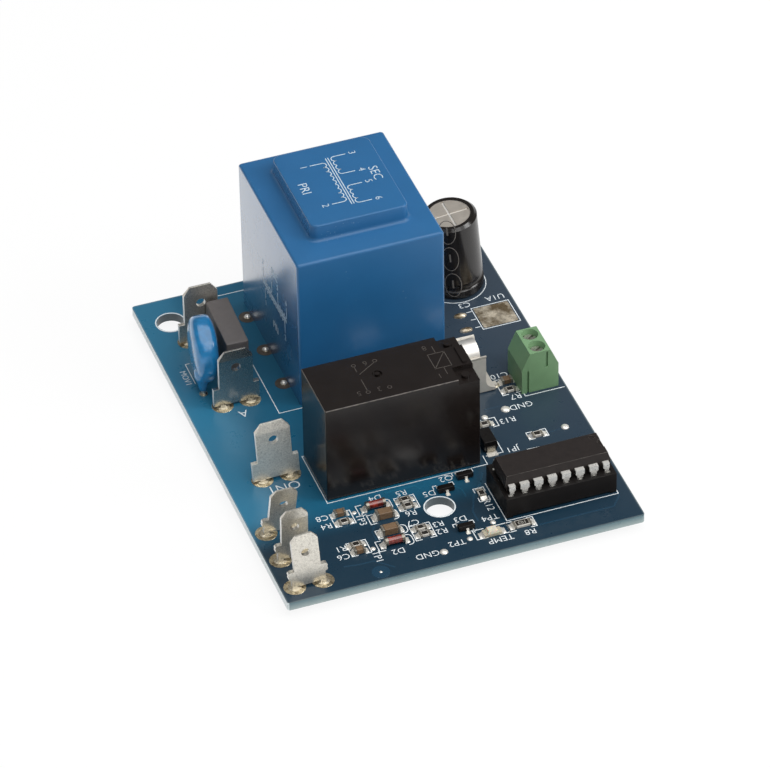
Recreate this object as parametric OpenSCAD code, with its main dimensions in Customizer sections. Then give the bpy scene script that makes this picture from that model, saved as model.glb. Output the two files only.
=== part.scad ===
// Level control board: transformer supply, relay, fuse, clamp terminal and socketed logic on one board.
// Sizes are in millimetres. Places are [x, y] from the board's front-left corner, and heights are above
// its top face. The row frame has X along the front edge, Y to the back and Z = 0 at the solder tails' tips.

/* [Board] */
// Board width
board_w = 65; // [64:0.5:75]
// Board depth
board_d = 86; // [84:0.5:100]
// Laminate thickness
board_t = 1.6; // [1:0.1:2.4]
// Corner radius
board_r = 0.6; // [0.2:0.1:2]
// Radius of both mounting holes
mount_r = 2.5; // [2:0.05:2.8]
// Place of the back mounting hole
back_hole = [5.2, 79.2]; // [4:0.1:82]
// Place of the front mounting hole
front_hole = [32.7, 14.5]; // [10:0.1:34]
// Length of the soldered tails below the laminate
tail = 1.7; // [1.3:0.1:3]

/* [Transformer] */
// Place of the case's middle
case_at = [32.9, 64.5]; // [30:0.1:66]
// Case width, depth and height
case_size = [27.2, 31.6, 31.2]; // [26:0.1:36]
// Raised panel on the case: width, depth and height
panel_size = [17.9, 21.7, 3.1]; // [2:0.1:24]
// Shift of the panel from the case's middle
panel_shift = [0.2, 0.7]; // [-1:0.1:1]
// How far the panel's foot spreads on each side
panel_flare = 1.9; // [0.5:0.1:2.4]
// Edge radius of the case
case_r = 0.5; // [0.3:0.1:1.4]
// Corner radius of the raised panel
panel_r = 1.4; // [0.4:0.1:1.4]
// Wall of the case
case_wall = 1.4; // [1:0.1:2]
// Height of the open rim below the resin
resin_rise = 0.6; // [0.3:0.1:1]
// Distance between the two pin rows
coil_rows = 20; // [18:0.5:22]
// Pitch of the pins along a row
coil_pitch = 5; // [4:0.5:5]
// Radius of a pin
coil_pin_r = 0.4; // [0.3:0.05:0.5]

/* [Relay] */
// Place of the cover's middle
relay_at = [29.2, 28.95]; // [29:0.05:30]
// Cover width, depth and height
relay_size = [28.2, 12.6, 19.7]; // [12:0.1:30]
// Gap between the cover and the board
relay_gap = 0.3; // [0.2:0.05:0.6]
// Edge radius of the cover
relay_r = 0.2; // [0.1:0.05:0.6]
// Corner pockets at the right end: length, depth in Y and drop
relay_pocket = [3.9, 3.6, 1.05]; // [0.5:0.05:4]
// Thickness of the base plate
relay_base_t = 2; // [1.5:0.1:3]
// Cross-section of a pin
relay_pin = [0.5, 0.8]; // [0.4:0.05:0.9]
// Distance between the two pin rows
relay_rows = 7.5; // [7:0.25:8]

/* [Capacitor] */
// Place of the capacitor's foot
cap_at = [57.1, 71.6]; // [54:0.1:74]
// Radius over the sleeve
cap_r = 5; // [4:0.1:5.5]
// Height of the can's top
cap_h = 16.2; // [12:0.1:25]
// Sleeve thickness
sleeve_t = 0.15; // [0.1:0.05:0.3]
// Width of the sleeve's lip on the can's top
sleeve_lip = 1.15; // [0.5:0.05:1.5]
// Height of the crimped groove
crimp_z = 2.6; // [2.2:0.1:3.5]
// Lean to the left, in degrees
cap_lean = 5; // [0:0.5:5]
// Distance between the leads
cap_pitch = 5; // [4:0.5:5]
// Radius of a lead
cap_lead_r = 0.3; // [0.25:0.05:0.4]

/* [Chip and socket] */
// Place of the socket's middle
socket_at = [52.5, 12.4]; // [12:0.1:53]
// Socket length, width and height
socket_size = [20.3, 10, 4.2]; // [4:0.1:21]
// Height of the socket's feet
socket_foot = 0.4; // [0.3:0.05:0.6]
// Pins in one row
row_pins = 8; // [4:1:8]
// Pitch of the pins
pin_pitch = 2.54; // [2.5:0.01:2.54]
// Distance between the two rows
row_span = 7.62; // [7.6:0.01:7.7]
// Chip body length, width and height
chip_size = [19.4, 6.35, 3.3]; // [3:0.05:20]
// Draft of the chip's sides over half its height
chip_draft = 0.4; // [0.2:0.05:0.5]
// Lead frame thickness
frame_t = 0.25; // [0.2:0.01:0.3]
// Width of a chip pin at its shoulder
shoulder_w = 1.6; // [1.3:0.05:1.7]
// Width of a chip pin in its contact
pin_w = 0.46; // [0.4:0.02:0.5]

/* [Clamp terminal] */
// Place of the housing's middle
terminal_at = [60.25, 41.4]; // [41:0.05:61]
// Housing depth across the wires, length along the poles and height
terminal_size = [6.9, 7, 8.65]; // [6.5:0.05:9]
// Height where the sloping sides begin
slope_z = 5.15; // [4.8:0.05:5.5]
// Half-width of the flat top
top_half = 1.93; // [1.7:0.01:2.2]
// Distance between the poles
pole_pitch = 3.5; // [3.4:0.05:3.6]
// Radius of a screw's head
screw_head_r = 1.15; // [1:0.05:1.2]
// Radius of a screw's shank
screw_shank_r = 0.75; // [0.6:0.05:0.8]
// Clearance round a screw
screw_play = 0.09; // [0.05:0.01:0.1]
// Cage length along the wire, width and height
cage_size = [3.4, 2.2, 4.2]; // [2:0.1:4.4]
// Wall of a cage
cage_wall = 0.4; // [0.3:0.05:0.45]
// Clearance between a cage and the housing
cage_play = 0.15; // [0.1:0.05:0.2]
// Height of a cage's foot with the clamp open
cage_z = 0.4; // [0.3:0.05:0.5]
// Rise of a cage from open to closed
cage_rise = 1.6; // [1:0.1:1.6]

/* [Varistor] */
// Place of the disc's middle
disc_at = [5.75, 61.6]; // [5:0.05:63]
// Height of the disc's middle
disc_z = 7.1; // [6.6:0.1:8]
// Radius of the coated disc
disc_r = 6.2; // [5:0.1:6.2]
// Thickness of the coated disc
disc_t = 4.7; // [3:0.1:4.8]
// Turn of the disc from the board's depth, in degrees
disc_turn = -8; // [-15:1:-5]
// Distance between the leads
disc_pitch = 7.5; // [7:0.5:7.5]
// Offset of each lead from the disc's middle plane
disc_stagger = 0.9; // [0:0.1:1]
// Radius of a lead
disc_lead_r = 0.4; // [0.3:0.05:0.45]

/* [Film capacitor] */
// Place of the box's middle
film_at = [11.5, 65.35]; // [11:0.05:66]
// Box width, depth and height
film_size = [4.1, 13, 8.7]; // [4:0.1:13]
// Gap between the box and the board
film_gap = 0.3; // [0.2:0.05:0.5]
// Turn of the box from the board's depth, in degrees
film_turn = -2; // [-3:0.5:0]
// Distance between the leads
film_pitch = 10; // [9.5:0.5:10]
// Radius of a lead
film_lead_r = 0.3; // [0.25:0.05:0.4]

/* [Blade tabs] */
// Blade thickness
tab_t = 0.8; // [0.5:0.1:0.8]
// Distance between a tab's two legs
leg_pitch = 5.08; // [5:0.02:5.1]
// Width of a leg
leg_w = 1; // [0.8:0.1:1.1]
// Gap between a tab's base and the board
tab_gap = 0.45; // [0.4:0.05:0.6]
// Wide tab: blade width, base width, shoulder height, top height
wide_tab = [6.3, 8.5, 4.25, 12.15]; // [4:0.05:13]
// Wide tab: chamfer across, chamfer down, hole height, hole radius
wide_tip = [1.2, 1.6, 8.5, 0.85]; // [0.8:0.05:9]
// Narrow tab: blade width, base width, shoulder height, top height
narrow_tab = [4.75, 6.1, 3.9, 11.45]; // [3.5:0.05:12]
// Narrow tab: chamfer across, chamfer down, hole height, hole radius
narrow_tip = [0.95, 1.25, 7.6, 0.8]; // [0.6:0.05:8]
// Narrow tab's ears: radius and reach of a bump, heights of the lower and upper bump
narrow_ear = [0.5, 0.5, 2.7, 3.4]; // [0.3:0.05:4]
// Coined tip of a blade: length from the top and thickness at the top
tab_coin = [1.9, 0.35]; // [0.3:0.05:2.2]
// Middle of the wide tabs from the left edge
wide_x = 9; // [8.5:0.1:9.2]
// Middle of the narrow tabs from the left edge
narrow_x = 5.05; // [5:0.05:5.5]
// Wide tabs from back to front: place in Y, lean to the front and tilt to the left in degrees
wide_set = [[72.9, 0, 0], [53.65, 1, 0], [32.05, -3, 2]]; // [-4:0.5:74]
// Narrow tabs from back to front: place in Y, lean to the front and tilt to the left in degrees
narrow_set = [[18.5, 15, 0], [11.05, 5.5, 1], [3.6, 0, 4]]; // [-4:0.5:20]

/* [Fuse] */
// Place of the fuse's middle
fuse_at = [40.2, 43.6]; // [40:0.1:44]
// Height of the fuse's axis
fuse_z = 7.2; // [6:0.1:8]
// Fuse length
fuse_len = 20; // [19.5:0.1:20]
// Radius and length of an end cap
fuse_cap = [2.6, 5.2]; // [2.5:0.05:5.5]
// Outer and inner radius of the glass tube
fuse_glass = [2.3, 1.75]; // [1.5:0.05:2.4]
// Radius of the fuse wire
fuse_wire_r = 0.12; // [0.1:0.01:0.2]
// Clip: prong width, foot width and sheet thickness
clip_size = [4.6, 8.2, 0.4]; // [0.3:0.1:8.4]
// Distance from the fuse's end to a clip's middle
clip_inset = 1.4; // [1.4:0.1:2.7]

/* [Small parts] */
// Chip resistors: place, turn in degrees and case, 0 small or 1 large
resistors = [[15.9, 16.45, 0, 0], [15.8, 10.05, 0, 0], [27.6, 18.2, 0, 0], [27.6, 16.5, 0, 0],
  [27.8, 8.55, 0, 0], [27.65, 10.3, 0, 0], [40.6, 15, 90, 0], [44.3, 5.15, 0, 1], [55.3, 26.5, 0, 0],
  [47.65, 32.3, 0, 0], [55.2, 39.7, 0, 0]]; // [0:0.1:90]
// Chip capacitors: place, turn in degrees and case, 0 small or 1 large
ceramics = [[15.9, 18.6, 0, 0], [15.8, 8.3, 0, 0], [23, 15.5, 0, 1], [22.5, 11.3, 0, 1],
  [55.5, 42.1, 0, 0]]; // [0:0.1:90]
// Glass diodes: place
diodes = [[22.3, 18.3], [22.2, 8.3]]; // [5:0.1:60]
// Three-lead packages: place and turn in degrees
triodes = [[35.2, 18.2, 180], [39.5, 20.4, 180], [34.95, 7.5, 180]]; // [0:0.1:180]
// Rectifier: place
rectifier_at = [46.15, 27.2]; // [27:0.1:47]
// Lamp: place
lamp_at = [38.7, 4.8]; // [4:0.1:40]
// Small chip case: length and width
small_chip = [2, 1.25]; // [1:0.05:2.2]
// Large chip case: length and width
large_chip = [3.2, 1.6]; // [1.4:0.05:3.3]

/* [Hidden] */
$fn = 48;
top = tail + board_t;
cut = 1;
wide_places = [for (t = wide_set) [wide_x, t[0]]];
narrow_places = [for (t = narrow_set) [narrow_x, t[0]]];
tab_places = concat(wide_places, narrow_places);
coil_steps = [[-1, -2], [-1, 2], [1, -2], [1, -1], [1, 1], [1, 2]];
coil_places = [for (s = coil_steps) case_at + [s.x * coil_rows / 2, s.y * coil_pitch]];
relay_steps = [2.6, 17.6, 22.6, 25.1];
relay_places = [for (x = relay_steps, y = [-1, 1])
  relay_at + [x - relay_size.x / 2, y * relay_rows / 2]];
cap_places = [for (x = [-1, 1]) cap_at + [x * cap_pitch / 2, 0]];
pin_xs = [for (i = [0 : row_pins - 1]) (i - (row_pins - 1) / 2) * pin_pitch];
socket_places = [for (x = pin_xs, y = [-1, 1]) socket_at + [x, y * row_span / 2]];
pole_ys = [-pole_pitch / 2, pole_pitch / 2];
bar_t = 0.6;
bar_w = 1.2;
bar_back = -2.3;
bar_leg = 0.5;
bar_tail_w = 0.8;
bar_z = 3;
bar_room = 0.5;
bar_places = [for (y = pole_ys) terminal_at + [bar_back + bar_leg / 2, y]];
disc_places = [for (s = [-1, 1]) disc_at + turned(s * [disc_stagger, disc_pitch / 2], disc_turn)];
film_places = [for (y = [-1, 1]) film_at + turned([0, y * film_pitch / 2], film_turn)];
clip_xs = [for (x = [-1, 1]) x * (fuse_len / 2 - clip_inset)];
clip_leg_gap = 0.4;
clip_leg_x = clip_size[1] / 2 + clip_leg_gap;
clip_leg_y = -1.7;
clip_leg_w = 1;
clip_places = [for (x = clip_xs, s = [-1, 1]) fuse_at + [x + s * clip_leg_x, clip_leg_y]];
leg_places = [for (p = tab_places, x = [-1, 1]) p + [x * leg_pitch / 2, 0]];
spare_gap = 0.75;
spare_y = 65.75;
spare_pitch = 10;
spare_x = case_at.x - case_size.x / 2 - spare_gap;
spare_places = [for (i = [-1, 0, 1]) [spare_x, spare_y + i * spare_pitch]];
leg_hole = 0.9;
pin_hole = 0.65;
thin_hole = 0.45;
holes = concat(
  [for (p = leg_places) [p.x, p.y, leg_hole]],
  [for (p = concat(clip_places, coil_places, relay_places, bar_places, disc_places)) [p.x, p.y, pin_hole]],
  [for (p = concat(cap_places, socket_places, film_places, spare_places)) [p.x, p.y, thin_hole]]);

// Turns a place about the origin.
function turned(p, a) = [p.x * cos(a) - p.y * sin(a), p.x * sin(a) + p.y * cos(a)];

// Puts children at a place on the board's top face.
module on_board(at, z = 0) {
  translate([at.x - board_w / 2, at.y - board_d / 2, top + z]) children();
}

// Box centred in X and Y with its foot at z = 0.
module block(w, d, h) {
  translate([-w / 2, -d / 2, 0]) cube([w, d, h]);
}

// Box with its foot at z = 0, rounded along its upright and top edges.
module soft_block(size, r) {
  hull() for (x = [-1, 1], y = [-1, 1]) translate([x * (size.x / 2 - r), y * (size.y / 2 - r), 0]) {
    cylinder(r = r, h = size.z - r, $fn = 24);
    translate([0, 0, size.z - r]) sphere(r, $fn = 24);
  }
}

// Outline of a plate with round corners.
module rounded_rect(w, d, r) {
  square([w - 2 * r, d], center = true);
  square([w, d - 2 * r], center = true);
  for (x = [-1, 1], y = [-1, 1]) translate([x * (w / 2 - r), y * (d / 2 - r)]) circle(r);
}

// Round lead from its tail up to a height above the board.
module round_lead(r, z) {
  translate([0, 0, -top]) cylinder(r = r, h = top + z);
}

// Flat lead from its tail up to a height above the board.
module flat_lead(w, d, z) {
  translate([0, 0, -top]) block(w, d, top + z);
}

module circuit_board() {
  color("#1f5f86") translate([0, 0, tail]) linear_extrude(board_t) difference() {
    rounded_rect(board_w, board_d, board_r);
    translate([-board_w / 2, -board_d / 2]) {
      for (p = [back_hole, front_hole]) translate(p) circle(mount_r);
      for (h = holes) translate([h.x, h.y]) circle(h.z);
    }
  }
}

// Thickness of the slabs that the raised panel is lofted through.
slab_t = 0.02;

// Thin slab of the raised panel, grown on all sides.
module panel_slab(grow, z) {
  translate([0, 0, z]) linear_extrude(slab_t)
    rounded_rect(panel_size.x + 2 * grow, panel_size.y + 2 * grow, panel_r, $fn = 24);
}

// Raised panel with a flared foot and a soft top edge.
module case_panel() {
  lap = 0.06;
  steps = [[panel_flare, -0.1], [panel_flare * 0.3, 0.4], [0, 0.86], [-0.35, 1]];
  for (i = [0 : len(steps) - 2]) hull() {
    panel_slab(steps[i][0], steps[i][1] * panel_size.z - lap);
    panel_slab(steps[i + 1][0], steps[i + 1][1] * panel_size.z - slab_t);
  }
}

module transformer_case() {
  cavity = case_size - [2, 2, 1] * case_wall;
  color("#2b66a5") on_board(case_at) difference() {
    union() {
      soft_block(case_size, case_r);
      translate([panel_shift.x, panel_shift.y, case_size.z]) case_panel();
    }
    translate([0, 0, -cut]) block(cavity.x, cavity.y, cavity.z + cut);
  }
}

// Depth of the transformer's pins in the resin.
coil_root = 4;

module transformer_resin() {
  cavity = case_size - [2, 2, 1] * case_wall;
  color("#25282c") difference() {
    on_board(case_at, resin_rise) block(cavity.x, cavity.y, cavity.z - resin_rise);
    transformer_pins();
  }
}

module transformer_pins() {
  color("silver") for (p = coil_places) on_board(p) round_lead(coil_pin_r, coil_root);
}

// Wall of the relay's cover round its base.
relay_skirt = 1;

// Relay cover: its underside takes the base, and its right end has a stepped pocket at each corner.
module relay_cover() {
  nub = [0.75, 0.55];
  nub_inset = 2;
  vent_at = [-2.3, 0.3];
  vent_r = 0.9;
  vent_sink = 0.35;
  vent_pin = 0.5;
  rib = [0.7, 0.3];
  rib_inset = 1.3;
  rib_y = relay_size.y - 2 * relay_pocket.y - 1;
  lap = 0.2;
  end_x = relay_size.x / 2;
  pocket_y = relay_size.y / 2 - relay_pocket.y / 2;
  floor_z = relay_size.z - relay_pocket.z;
  color("#2a2523") on_board(relay_at, relay_gap) {
    difference() {
      soft_block(relay_size, relay_r);
      translate([0, 0, -cut])
        block(relay_size.x - 2 * relay_skirt, relay_size.y - 2 * relay_skirt, relay_base_t + cut);
      for (y = [-1, 1]) translate([end_x - relay_pocket.x / 2 + cut / 2, y * (pocket_y + cut / 2), floor_z])
        block(relay_pocket.x + cut, relay_pocket.y + cut, relay_pocket.z + cut);
      translate([vent_at.x, vent_at.y, relay_size.z - vent_sink]) cylinder(r = vent_r, h = cut);
    }
    for (y = [-1, 1]) translate([end_x - nub_inset, y * pocket_y, floor_z - lap])
      cylinder(r = nub[0], h = nub[1] + lap);
    translate([vent_at.x, vent_at.y, relay_size.z - vent_sink - lap])
      cylinder(r = vent_r / 2, h = vent_pin + lap);
    translate([end_x - rib_inset, 0, relay_size.z - lap]) block(rib.x, rib_y, rib.y + lap);
  }
}

module relay_base() {
  foot = 1;
  inset = [2, 1.7];
  color("#1f1c1b") difference() {
    on_board(relay_at) {
      translate([0, 0, relay_gap])
        block(relay_size.x - 2 * relay_skirt, relay_size.y - 2 * relay_skirt, relay_base_t);
      for (x = [-1, 1], y = [-1, 1])
        translate([x * (relay_size.x / 2 - inset.x), y * (relay_size.y / 2 - inset.y), 0])
          block(foot, foot, relay_gap);
    }
    relay_pins();
  }
}

module relay_pins() {
  color("silver") for (p = relay_places) on_board(p)
    flat_lead(relay_pin.x, relay_pin.y, relay_gap + relay_base_t);
}

// Leaning frame of the smoothing capacitor, about the middle of its foot.
module cap_frame() {
  on_board(cap_at) rotate([0, -cap_lean, 0]) children();
}

// Heights in the capacitor: foot of the can, foot and roof of the bung, top of the leads.
can_foot = 0.65;
bung_foot = 0.45;
bung_z = 1.5;
bung_r = 3.8;
cap_root = 1.05;

// Half-section of the can with its crimped groove, grown outward by the sleeve.
module can_half(grow) {
  r = cap_r - sleeve_t + grow;
  foot_z = can_foot - grow;
  lid_z = cap_h + grow;
  bevel = 0.5;
  groove_r = 1.05;
  groove_out = 0.55;
  difference() {
    polygon([[0, foot_z], [r, foot_z], [r, lid_z - bevel], [r - bevel, lid_z], [0, lid_z]]);
    translate([r + groove_out, crimp_z]) circle(groove_r - grow / 2);
  }
}

module capacitor_can() {
  vent_gap = 0.25;
  vent = [2 * (cap_r - sleeve_lip - vent_gap), 0.4, 0.25];
  color("#b9b4ab") cap_frame() difference() {
    rotate_extrude() can_half(0);
    cylinder(r = bung_r, h = bung_z);
    translate([0, 0, cap_h - vent.z]) for (a = [0, 90]) rotate(a) block(vent.x, vent.y, vent.z + cut);
  }
}

module capacitor_sleeve() {
  color("#221d1b") cap_frame() rotate_extrude() difference() {
    can_half(sleeve_t);
    can_half(0);
    square([cap_r - sleeve_lip, 2 * cap_h]);
  }
}

module capacitor_bung() {
  color("#151515") difference() {
    cap_frame() translate([0, 0, bung_foot]) cylinder(r = bung_r, h = bung_z - bung_foot);
    capacitor_leads();
  }
}

module capacitor_leads() {
  color("silver") for (p = cap_places) on_board(p) round_lead(cap_lead_r, cap_root);
}

// Heights of the chip's lead frame and pin tips, and a pin's root in the body, seat gap and leg drop.
frame_z = socket_size.z + chip_size.z / 2;
tip_z = 1.7;
pin_root = 0.5;
pin_seat = 0.05;
pin_drop = 0.85;
// Shares of a pin's width: its neck, and the part shoulder of an end pin.
neck_share = 0.65;
edge_share = 0.7;

// Front outline of a chip pin below its bend: wide leg, sloped step, neck and a narrow end in the contact.
module pin_outline(x, w, shift) {
  step = 0.25;
  leg_z = frame_z - pin_drop;
  seat_z = socket_size.z + pin_seat;
  leg = [shift - w / 2, shift + w / 2];
  neck = neck_share * leg;
  tip = [-pin_w / 2, pin_w / 2];
  translate([x, 0]) polygon([[leg[0], frame_z], [leg[0], leg_z], [neck[0], leg_z - step], [neck[0], seat_z],
    [tip[0], seat_z], [tip[0], tip_z], [tip[1], tip_z], [tip[1], seat_z], [neck[1], seat_z],
    [neck[1], leg_z - step], [leg[1], leg_z], [leg[1], frame_z]]);
}

// Chip pin in the row at +Y: a shoulder out of the body, bent down into its leg.
module chip_pin(x, w, shift) {
  y0 = row_span / 2 - frame_t / 2;
  root = chip_size.y / 2 - pin_root;
  translate([x + shift - w / 2, root, frame_z - frame_t / 2]) cube([w, y0 + frame_t - root, frame_t]);
  translate([0, y0 + frame_t, 0]) rotate([90, 0, 0]) linear_extrude(frame_t) pin_outline(x, w, shift);
}

// End pins have part shoulders, on their inner side.
module chip_pins() {
  edge_w = edge_share * shoulder_w;
  color("#c9c9c6") on_board(socket_at) for (a = [0, 180]) rotate(a) for (i = [0 : row_pins - 1]) {
    side = i == 0 ? 1 : i == row_pins - 1 ? -1 : 0;
    chip_pin(pin_xs[i], side == 0 ? shoulder_w : edge_w, side * (shoulder_w - edge_w) / 2);
  }
}

module chip_body() {
  notch = [0.8, 0.5];
  dimple = [0.5, 0.15];
  dimple_at = [chip_size.x / 2 - 1.6, 1.9];
  slab = 0.2;
  color("#2c2725") difference() {
    on_board(socket_at, socket_size.z) difference() {
      hull() {
        block(chip_size.x - 2 * chip_draft, chip_size.y - 2 * chip_draft, chip_size.z);
        translate([0, 0, (chip_size.z - slab) / 2]) block(chip_size.x, chip_size.y, slab);
      }
      translate([chip_size.x / 2, 0, chip_size.z - notch[1]]) cylinder(r = notch[0] + chip_draft, h = cut);
      translate([dimple_at.x, dimple_at.y, chip_size.z - dimple[1]]) cylinder(r = dimple[0], h = cut);
    }
    chip_pins();
  }
}

contact_z = 1.2;
contact = [1.1, 0.9, 2.6];
contact_tail = [0.5, 0.3];

module chip_socket() {
  window = [7.4, 4.8];
  rib = 1.6;
  foot = 1.2;
  notch = [1.2, 1];
  color("#1d1a19") difference() {
    on_board(socket_at, socket_foot) difference() {
      union() {
        block(socket_size.x, socket_size.y, socket_size.z - socket_foot);
        for (x = [-1, 1], y = [-1, 1])
          translate([x * (socket_size.x - foot) / 2, y * (socket_size.y - foot) / 2, -socket_foot])
            block(foot, foot, socket_foot);
      }
      for (x = [-1, 1]) translate([x * (window.x + rib) / 2, 0, -cut])
        block(window.x, window.y, socket_size.z + cut);
      translate([socket_size.x / 2, 0, socket_size.z - socket_foot - notch[1]])
        cylinder(r = notch[0], h = notch[1] + cut);
    }
    for (p = socket_places) on_board(p) {
      translate([0, 0, contact_z]) block(contact.x, contact.y, socket_size.z);
      block(contact_tail.x, contact_tail.y, contact_z + cut);
    }
  }
}

// Stamped contact: a slotted cup that grips the chip's pin, on a tail through the board.
module socket_contacts() {
  slack = 0.1;
  color("#c8bfa4") for (p = socket_places) on_board(p) {
    difference() {
      translate([0, 0, contact_z]) block(contact.x, contact.y, contact.z);
      translate([0, 0, tip_z - slack]) block(pin_w, frame_t, contact.z + cut);
    }
    flat_lead(contact_tail.x, contact_tail.y, contact_z);
  }
}

// Clamp: foot and height of a screw's head, foot of a cage's window, room round a cage and its top roof.
head_z = 6.6;
head_h = 1.1;
window_z = 0.5;
cavity_play = 0.2;
cavity_half = cage_size.x / 2 + cavity_play;
roof_z = cage_z + cage_size.z + cage_rise + cage_play;

// Clamp housing: sloped section along the poles, with a well, a screw bore and a wire entry for each.
module terminal_housing() {
  half = terminal_size.x / 2;
  well_w = cage_size.y + 2 * cage_play;
  bore_r = screw_head_r + screw_play;
  funnel = [0.28, 1];
  over = 0.01;
  wire = [2, 2.3];
  groove = [0.4, 0.3];
  high_groove = [1.25, 4.9, 3.4];
  low_groove = [-2.3, 4.8];
  face_y = -terminal_size.y / 2;
  color("#5f9a5c") on_board(terminal_at) difference() {
    rotate([90, 0, 0]) linear_extrude(terminal_size.y, center = true)
      polygon([[-half, 0], [half, 0], [half, slope_z], [top_half, terminal_size.z],
        [-top_half, terminal_size.z], [-half, slope_z]]);
    for (y = pole_ys) translate([0, y, 0]) {
      translate([-cavity_half, -well_w / 2, -cut]) cube([2 * cavity_half, well_w, roof_z + cut]);
      translate([bar_back - bar_room, -well_w / 2, -cut])
        cube([cavity_half, well_w, bar_z + bar_t + cage_play + cut]);
      cylinder(r = bore_r, h = terminal_size.z);
      translate([0, 0, terminal_size.z - funnel[1]])
        cylinder(r1 = bore_r, r2 = bore_r + funnel[0], h = funnel[1] + over);
      translate([half / 2, -wire.x / 2, cage_z + window_z]) cube([half, wire.x, wire.y]);
    }
    translate([high_groove.x, face_y, high_groove.y]) block(groove.x, 2 * groove.y, high_groove.z);
    translate([low_groove.x, face_y, -cut]) block(groove.x, 2 * groove.y, low_groove.y + cut);
  }
}

// Slotted clamp screw: its tip bears on the current bar and its head turns in the housing's bore.
module terminal_screw(y) {
  bar_gap = 0.05;
  tip = bar_z + bar_t + bar_gap;
  lap = 0.1;
  slot = [0.4, 0.5];
  slot_turn = 35;
  color("#c4c4bf") on_board(terminal_at) translate([0, y, 0]) difference() {
    union() {
      translate([0, 0, tip]) cylinder(r = screw_shank_r, h = head_z - tip + lap);
      translate([0, 0, head_z]) cylinder(r = screw_head_r, h = head_h);
    }
    translate([0, 0, head_z + head_h - slot[1]]) rotate(slot_turn) block(3 * screw_head_r, slot[0], cut);
  }
}

// Rising cage: a wire window below the current bar and a threaded roof for the screw.
module terminal_cage(y) {
  roof_t = 0.9;
  color("#b9b9b2") on_board(terminal_at, cage_z) translate([0, y, 0]) difference() {
    block(cage_size.x, cage_size.y, cage_size.z);
    translate([0, 0, window_z])
      block(2 * cage_size.x, cage_size.y - 2 * cage_wall, cage_size.z - window_z - roof_t);
    translate([0, 0, window_z]) cylinder(r = screw_shank_r + screw_play, h = cage_size.z);
  }
}

module terminal_screw_front() { terminal_screw(pole_ys[0]); }
module terminal_screw_back() { terminal_screw(pole_ys[1]); }
module terminal_cage_front() { terminal_cage(pole_ys[0]); }
module terminal_cage_back() { terminal_cage(pole_ys[1]); }

// Current bars: a tongue through the cage, a leg behind it and a tail through the board.
module terminal_bars() {
  tongue_gap = 0.1;
  tongue = cage_size.x / 2 - tongue_gap - bar_back;
  color("#c8bfa4") for (y = pole_ys) {
    on_board(terminal_at) translate([bar_back, y - bar_w / 2, 0]) {
      translate([0, 0, bar_z]) cube([tongue, bar_w, bar_t]);
      cube([bar_leg, bar_w, bar_z + bar_t]);
    }
    on_board(terminal_at + [bar_back + bar_leg / 2, y]) flat_lead(bar_leg, bar_tail_w, bar_t);
  }
}

// Coating on a varistor lead: foot height, length, and growth over the lead at its foot and top.
coat_z = 1;
coat_len = 3.6;
coat_grow = [0.3, 1.3];

// Coated disc with a full round edge, and the coating that runs down onto its leads.
module varistor_disc() {
  color("#2f6fb3") difference() {
    union() {
      on_board(disc_at, disc_z) rotate([0, 90, disc_turn]) rotate_extrude() {
        translate([0, -disc_t / 2]) square([disc_r - disc_t / 2, disc_t]);
        intersection() {
          translate([disc_r - disc_t / 2, 0]) circle(disc_t / 2);
          translate([0, -disc_t]) square([disc_r, 2 * disc_t]);
        }
      }
      for (p = disc_places) on_board(p, coat_z)
        cylinder(r1 = disc_lead_r + coat_grow[0], r2 = disc_lead_r + coat_grow[1], h = coat_len);
    }
    varistor_leads();
  }
}

module varistor_leads() {
  color("silver") for (p = disc_places) on_board(p) round_lead(disc_lead_r, coat_len);
}

module film_box() {
  foot = 0.8;
  edge_r = 0.25;
  lap = 0.1;
  color("#5d5550") difference() {
    on_board(film_at) rotate(film_turn) {
      translate([0, 0, film_gap]) soft_block(film_size, edge_r);
      for (y = [-1, 1]) translate([0, y * (film_size.y / 2 - 2.5 * foot), 0])
        block(film_size.x - foot, foot, film_gap + lap);
    }
    film_leads();
  }
}

module film_leads() {
  root = 2;
  color("silver") for (p = film_places) on_board(p) round_lead(film_lead_r, root);
}

// Front outline of a blade tab: legs, shoulders, chamfered tip, latch hole and, on a narrow one, ears.
module tab_outline(size, tip, ear) {
  w = size[0];
  h = size[3];
  difference() {
    union() {
      translate([-size[1] / 2, tab_gap]) square([size[1], size[2] - tab_gap]);
      polygon([[-w / 2, tab_gap], [w / 2, tab_gap], [w / 2, h - tip[1]], [w / 2 - tip[0], h],
        [tip[0] - w / 2, h], [-w / 2, h - tip[1]]]);
      for (x = [-1, 1]) translate([x * leg_pitch / 2 - leg_w / 2, -top]) square([leg_w, top + tab_gap]);
      if (ear != []) for (x = [-1, 1], z = [ear[2], ear[3]])
        translate([x * (size[1] / 2 + ear[1] - ear[0]), z]) circle(ear[0]);
    }
    translate([0, tip[2]]) circle(tip[3]);
  }
}

// Height of the bend above a tab's base, and spare length of its side section above the tip.
tab_knee = 0.3;
tab_spare = 0.5;

// Right edge of a tab's side section, as [half thickness, height] from tail to tip.
function tab_edge(h) = [[tab_t / 2, -top], [tab_t / 2, tab_gap + tab_knee], [tab_t / 2, h - tab_coin.x],
  [tab_coin.y / 2, h], [tab_coin.y / 2, h + tab_spare]];

// Shift of a leaning tab's middle at a height.
function tab_shift(z, lean) = -max(z - tab_gap - tab_knee, 0) * tan(lean);

// Side section of a blade tab: upright at its legs, leaning above the knee, and thinned to its coined tip.
module tab_section(h, lean) {
  edge = tab_edge(h);
  last = len(edge) - 1;
  polygon([for (p = edge) [tab_shift(p.y, lean) + p.x, p.y],
    for (i = [0 : last]) [tab_shift(edge[last - i].y, lean) - edge[last - i].x, edge[last - i].y]]);
}

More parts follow.
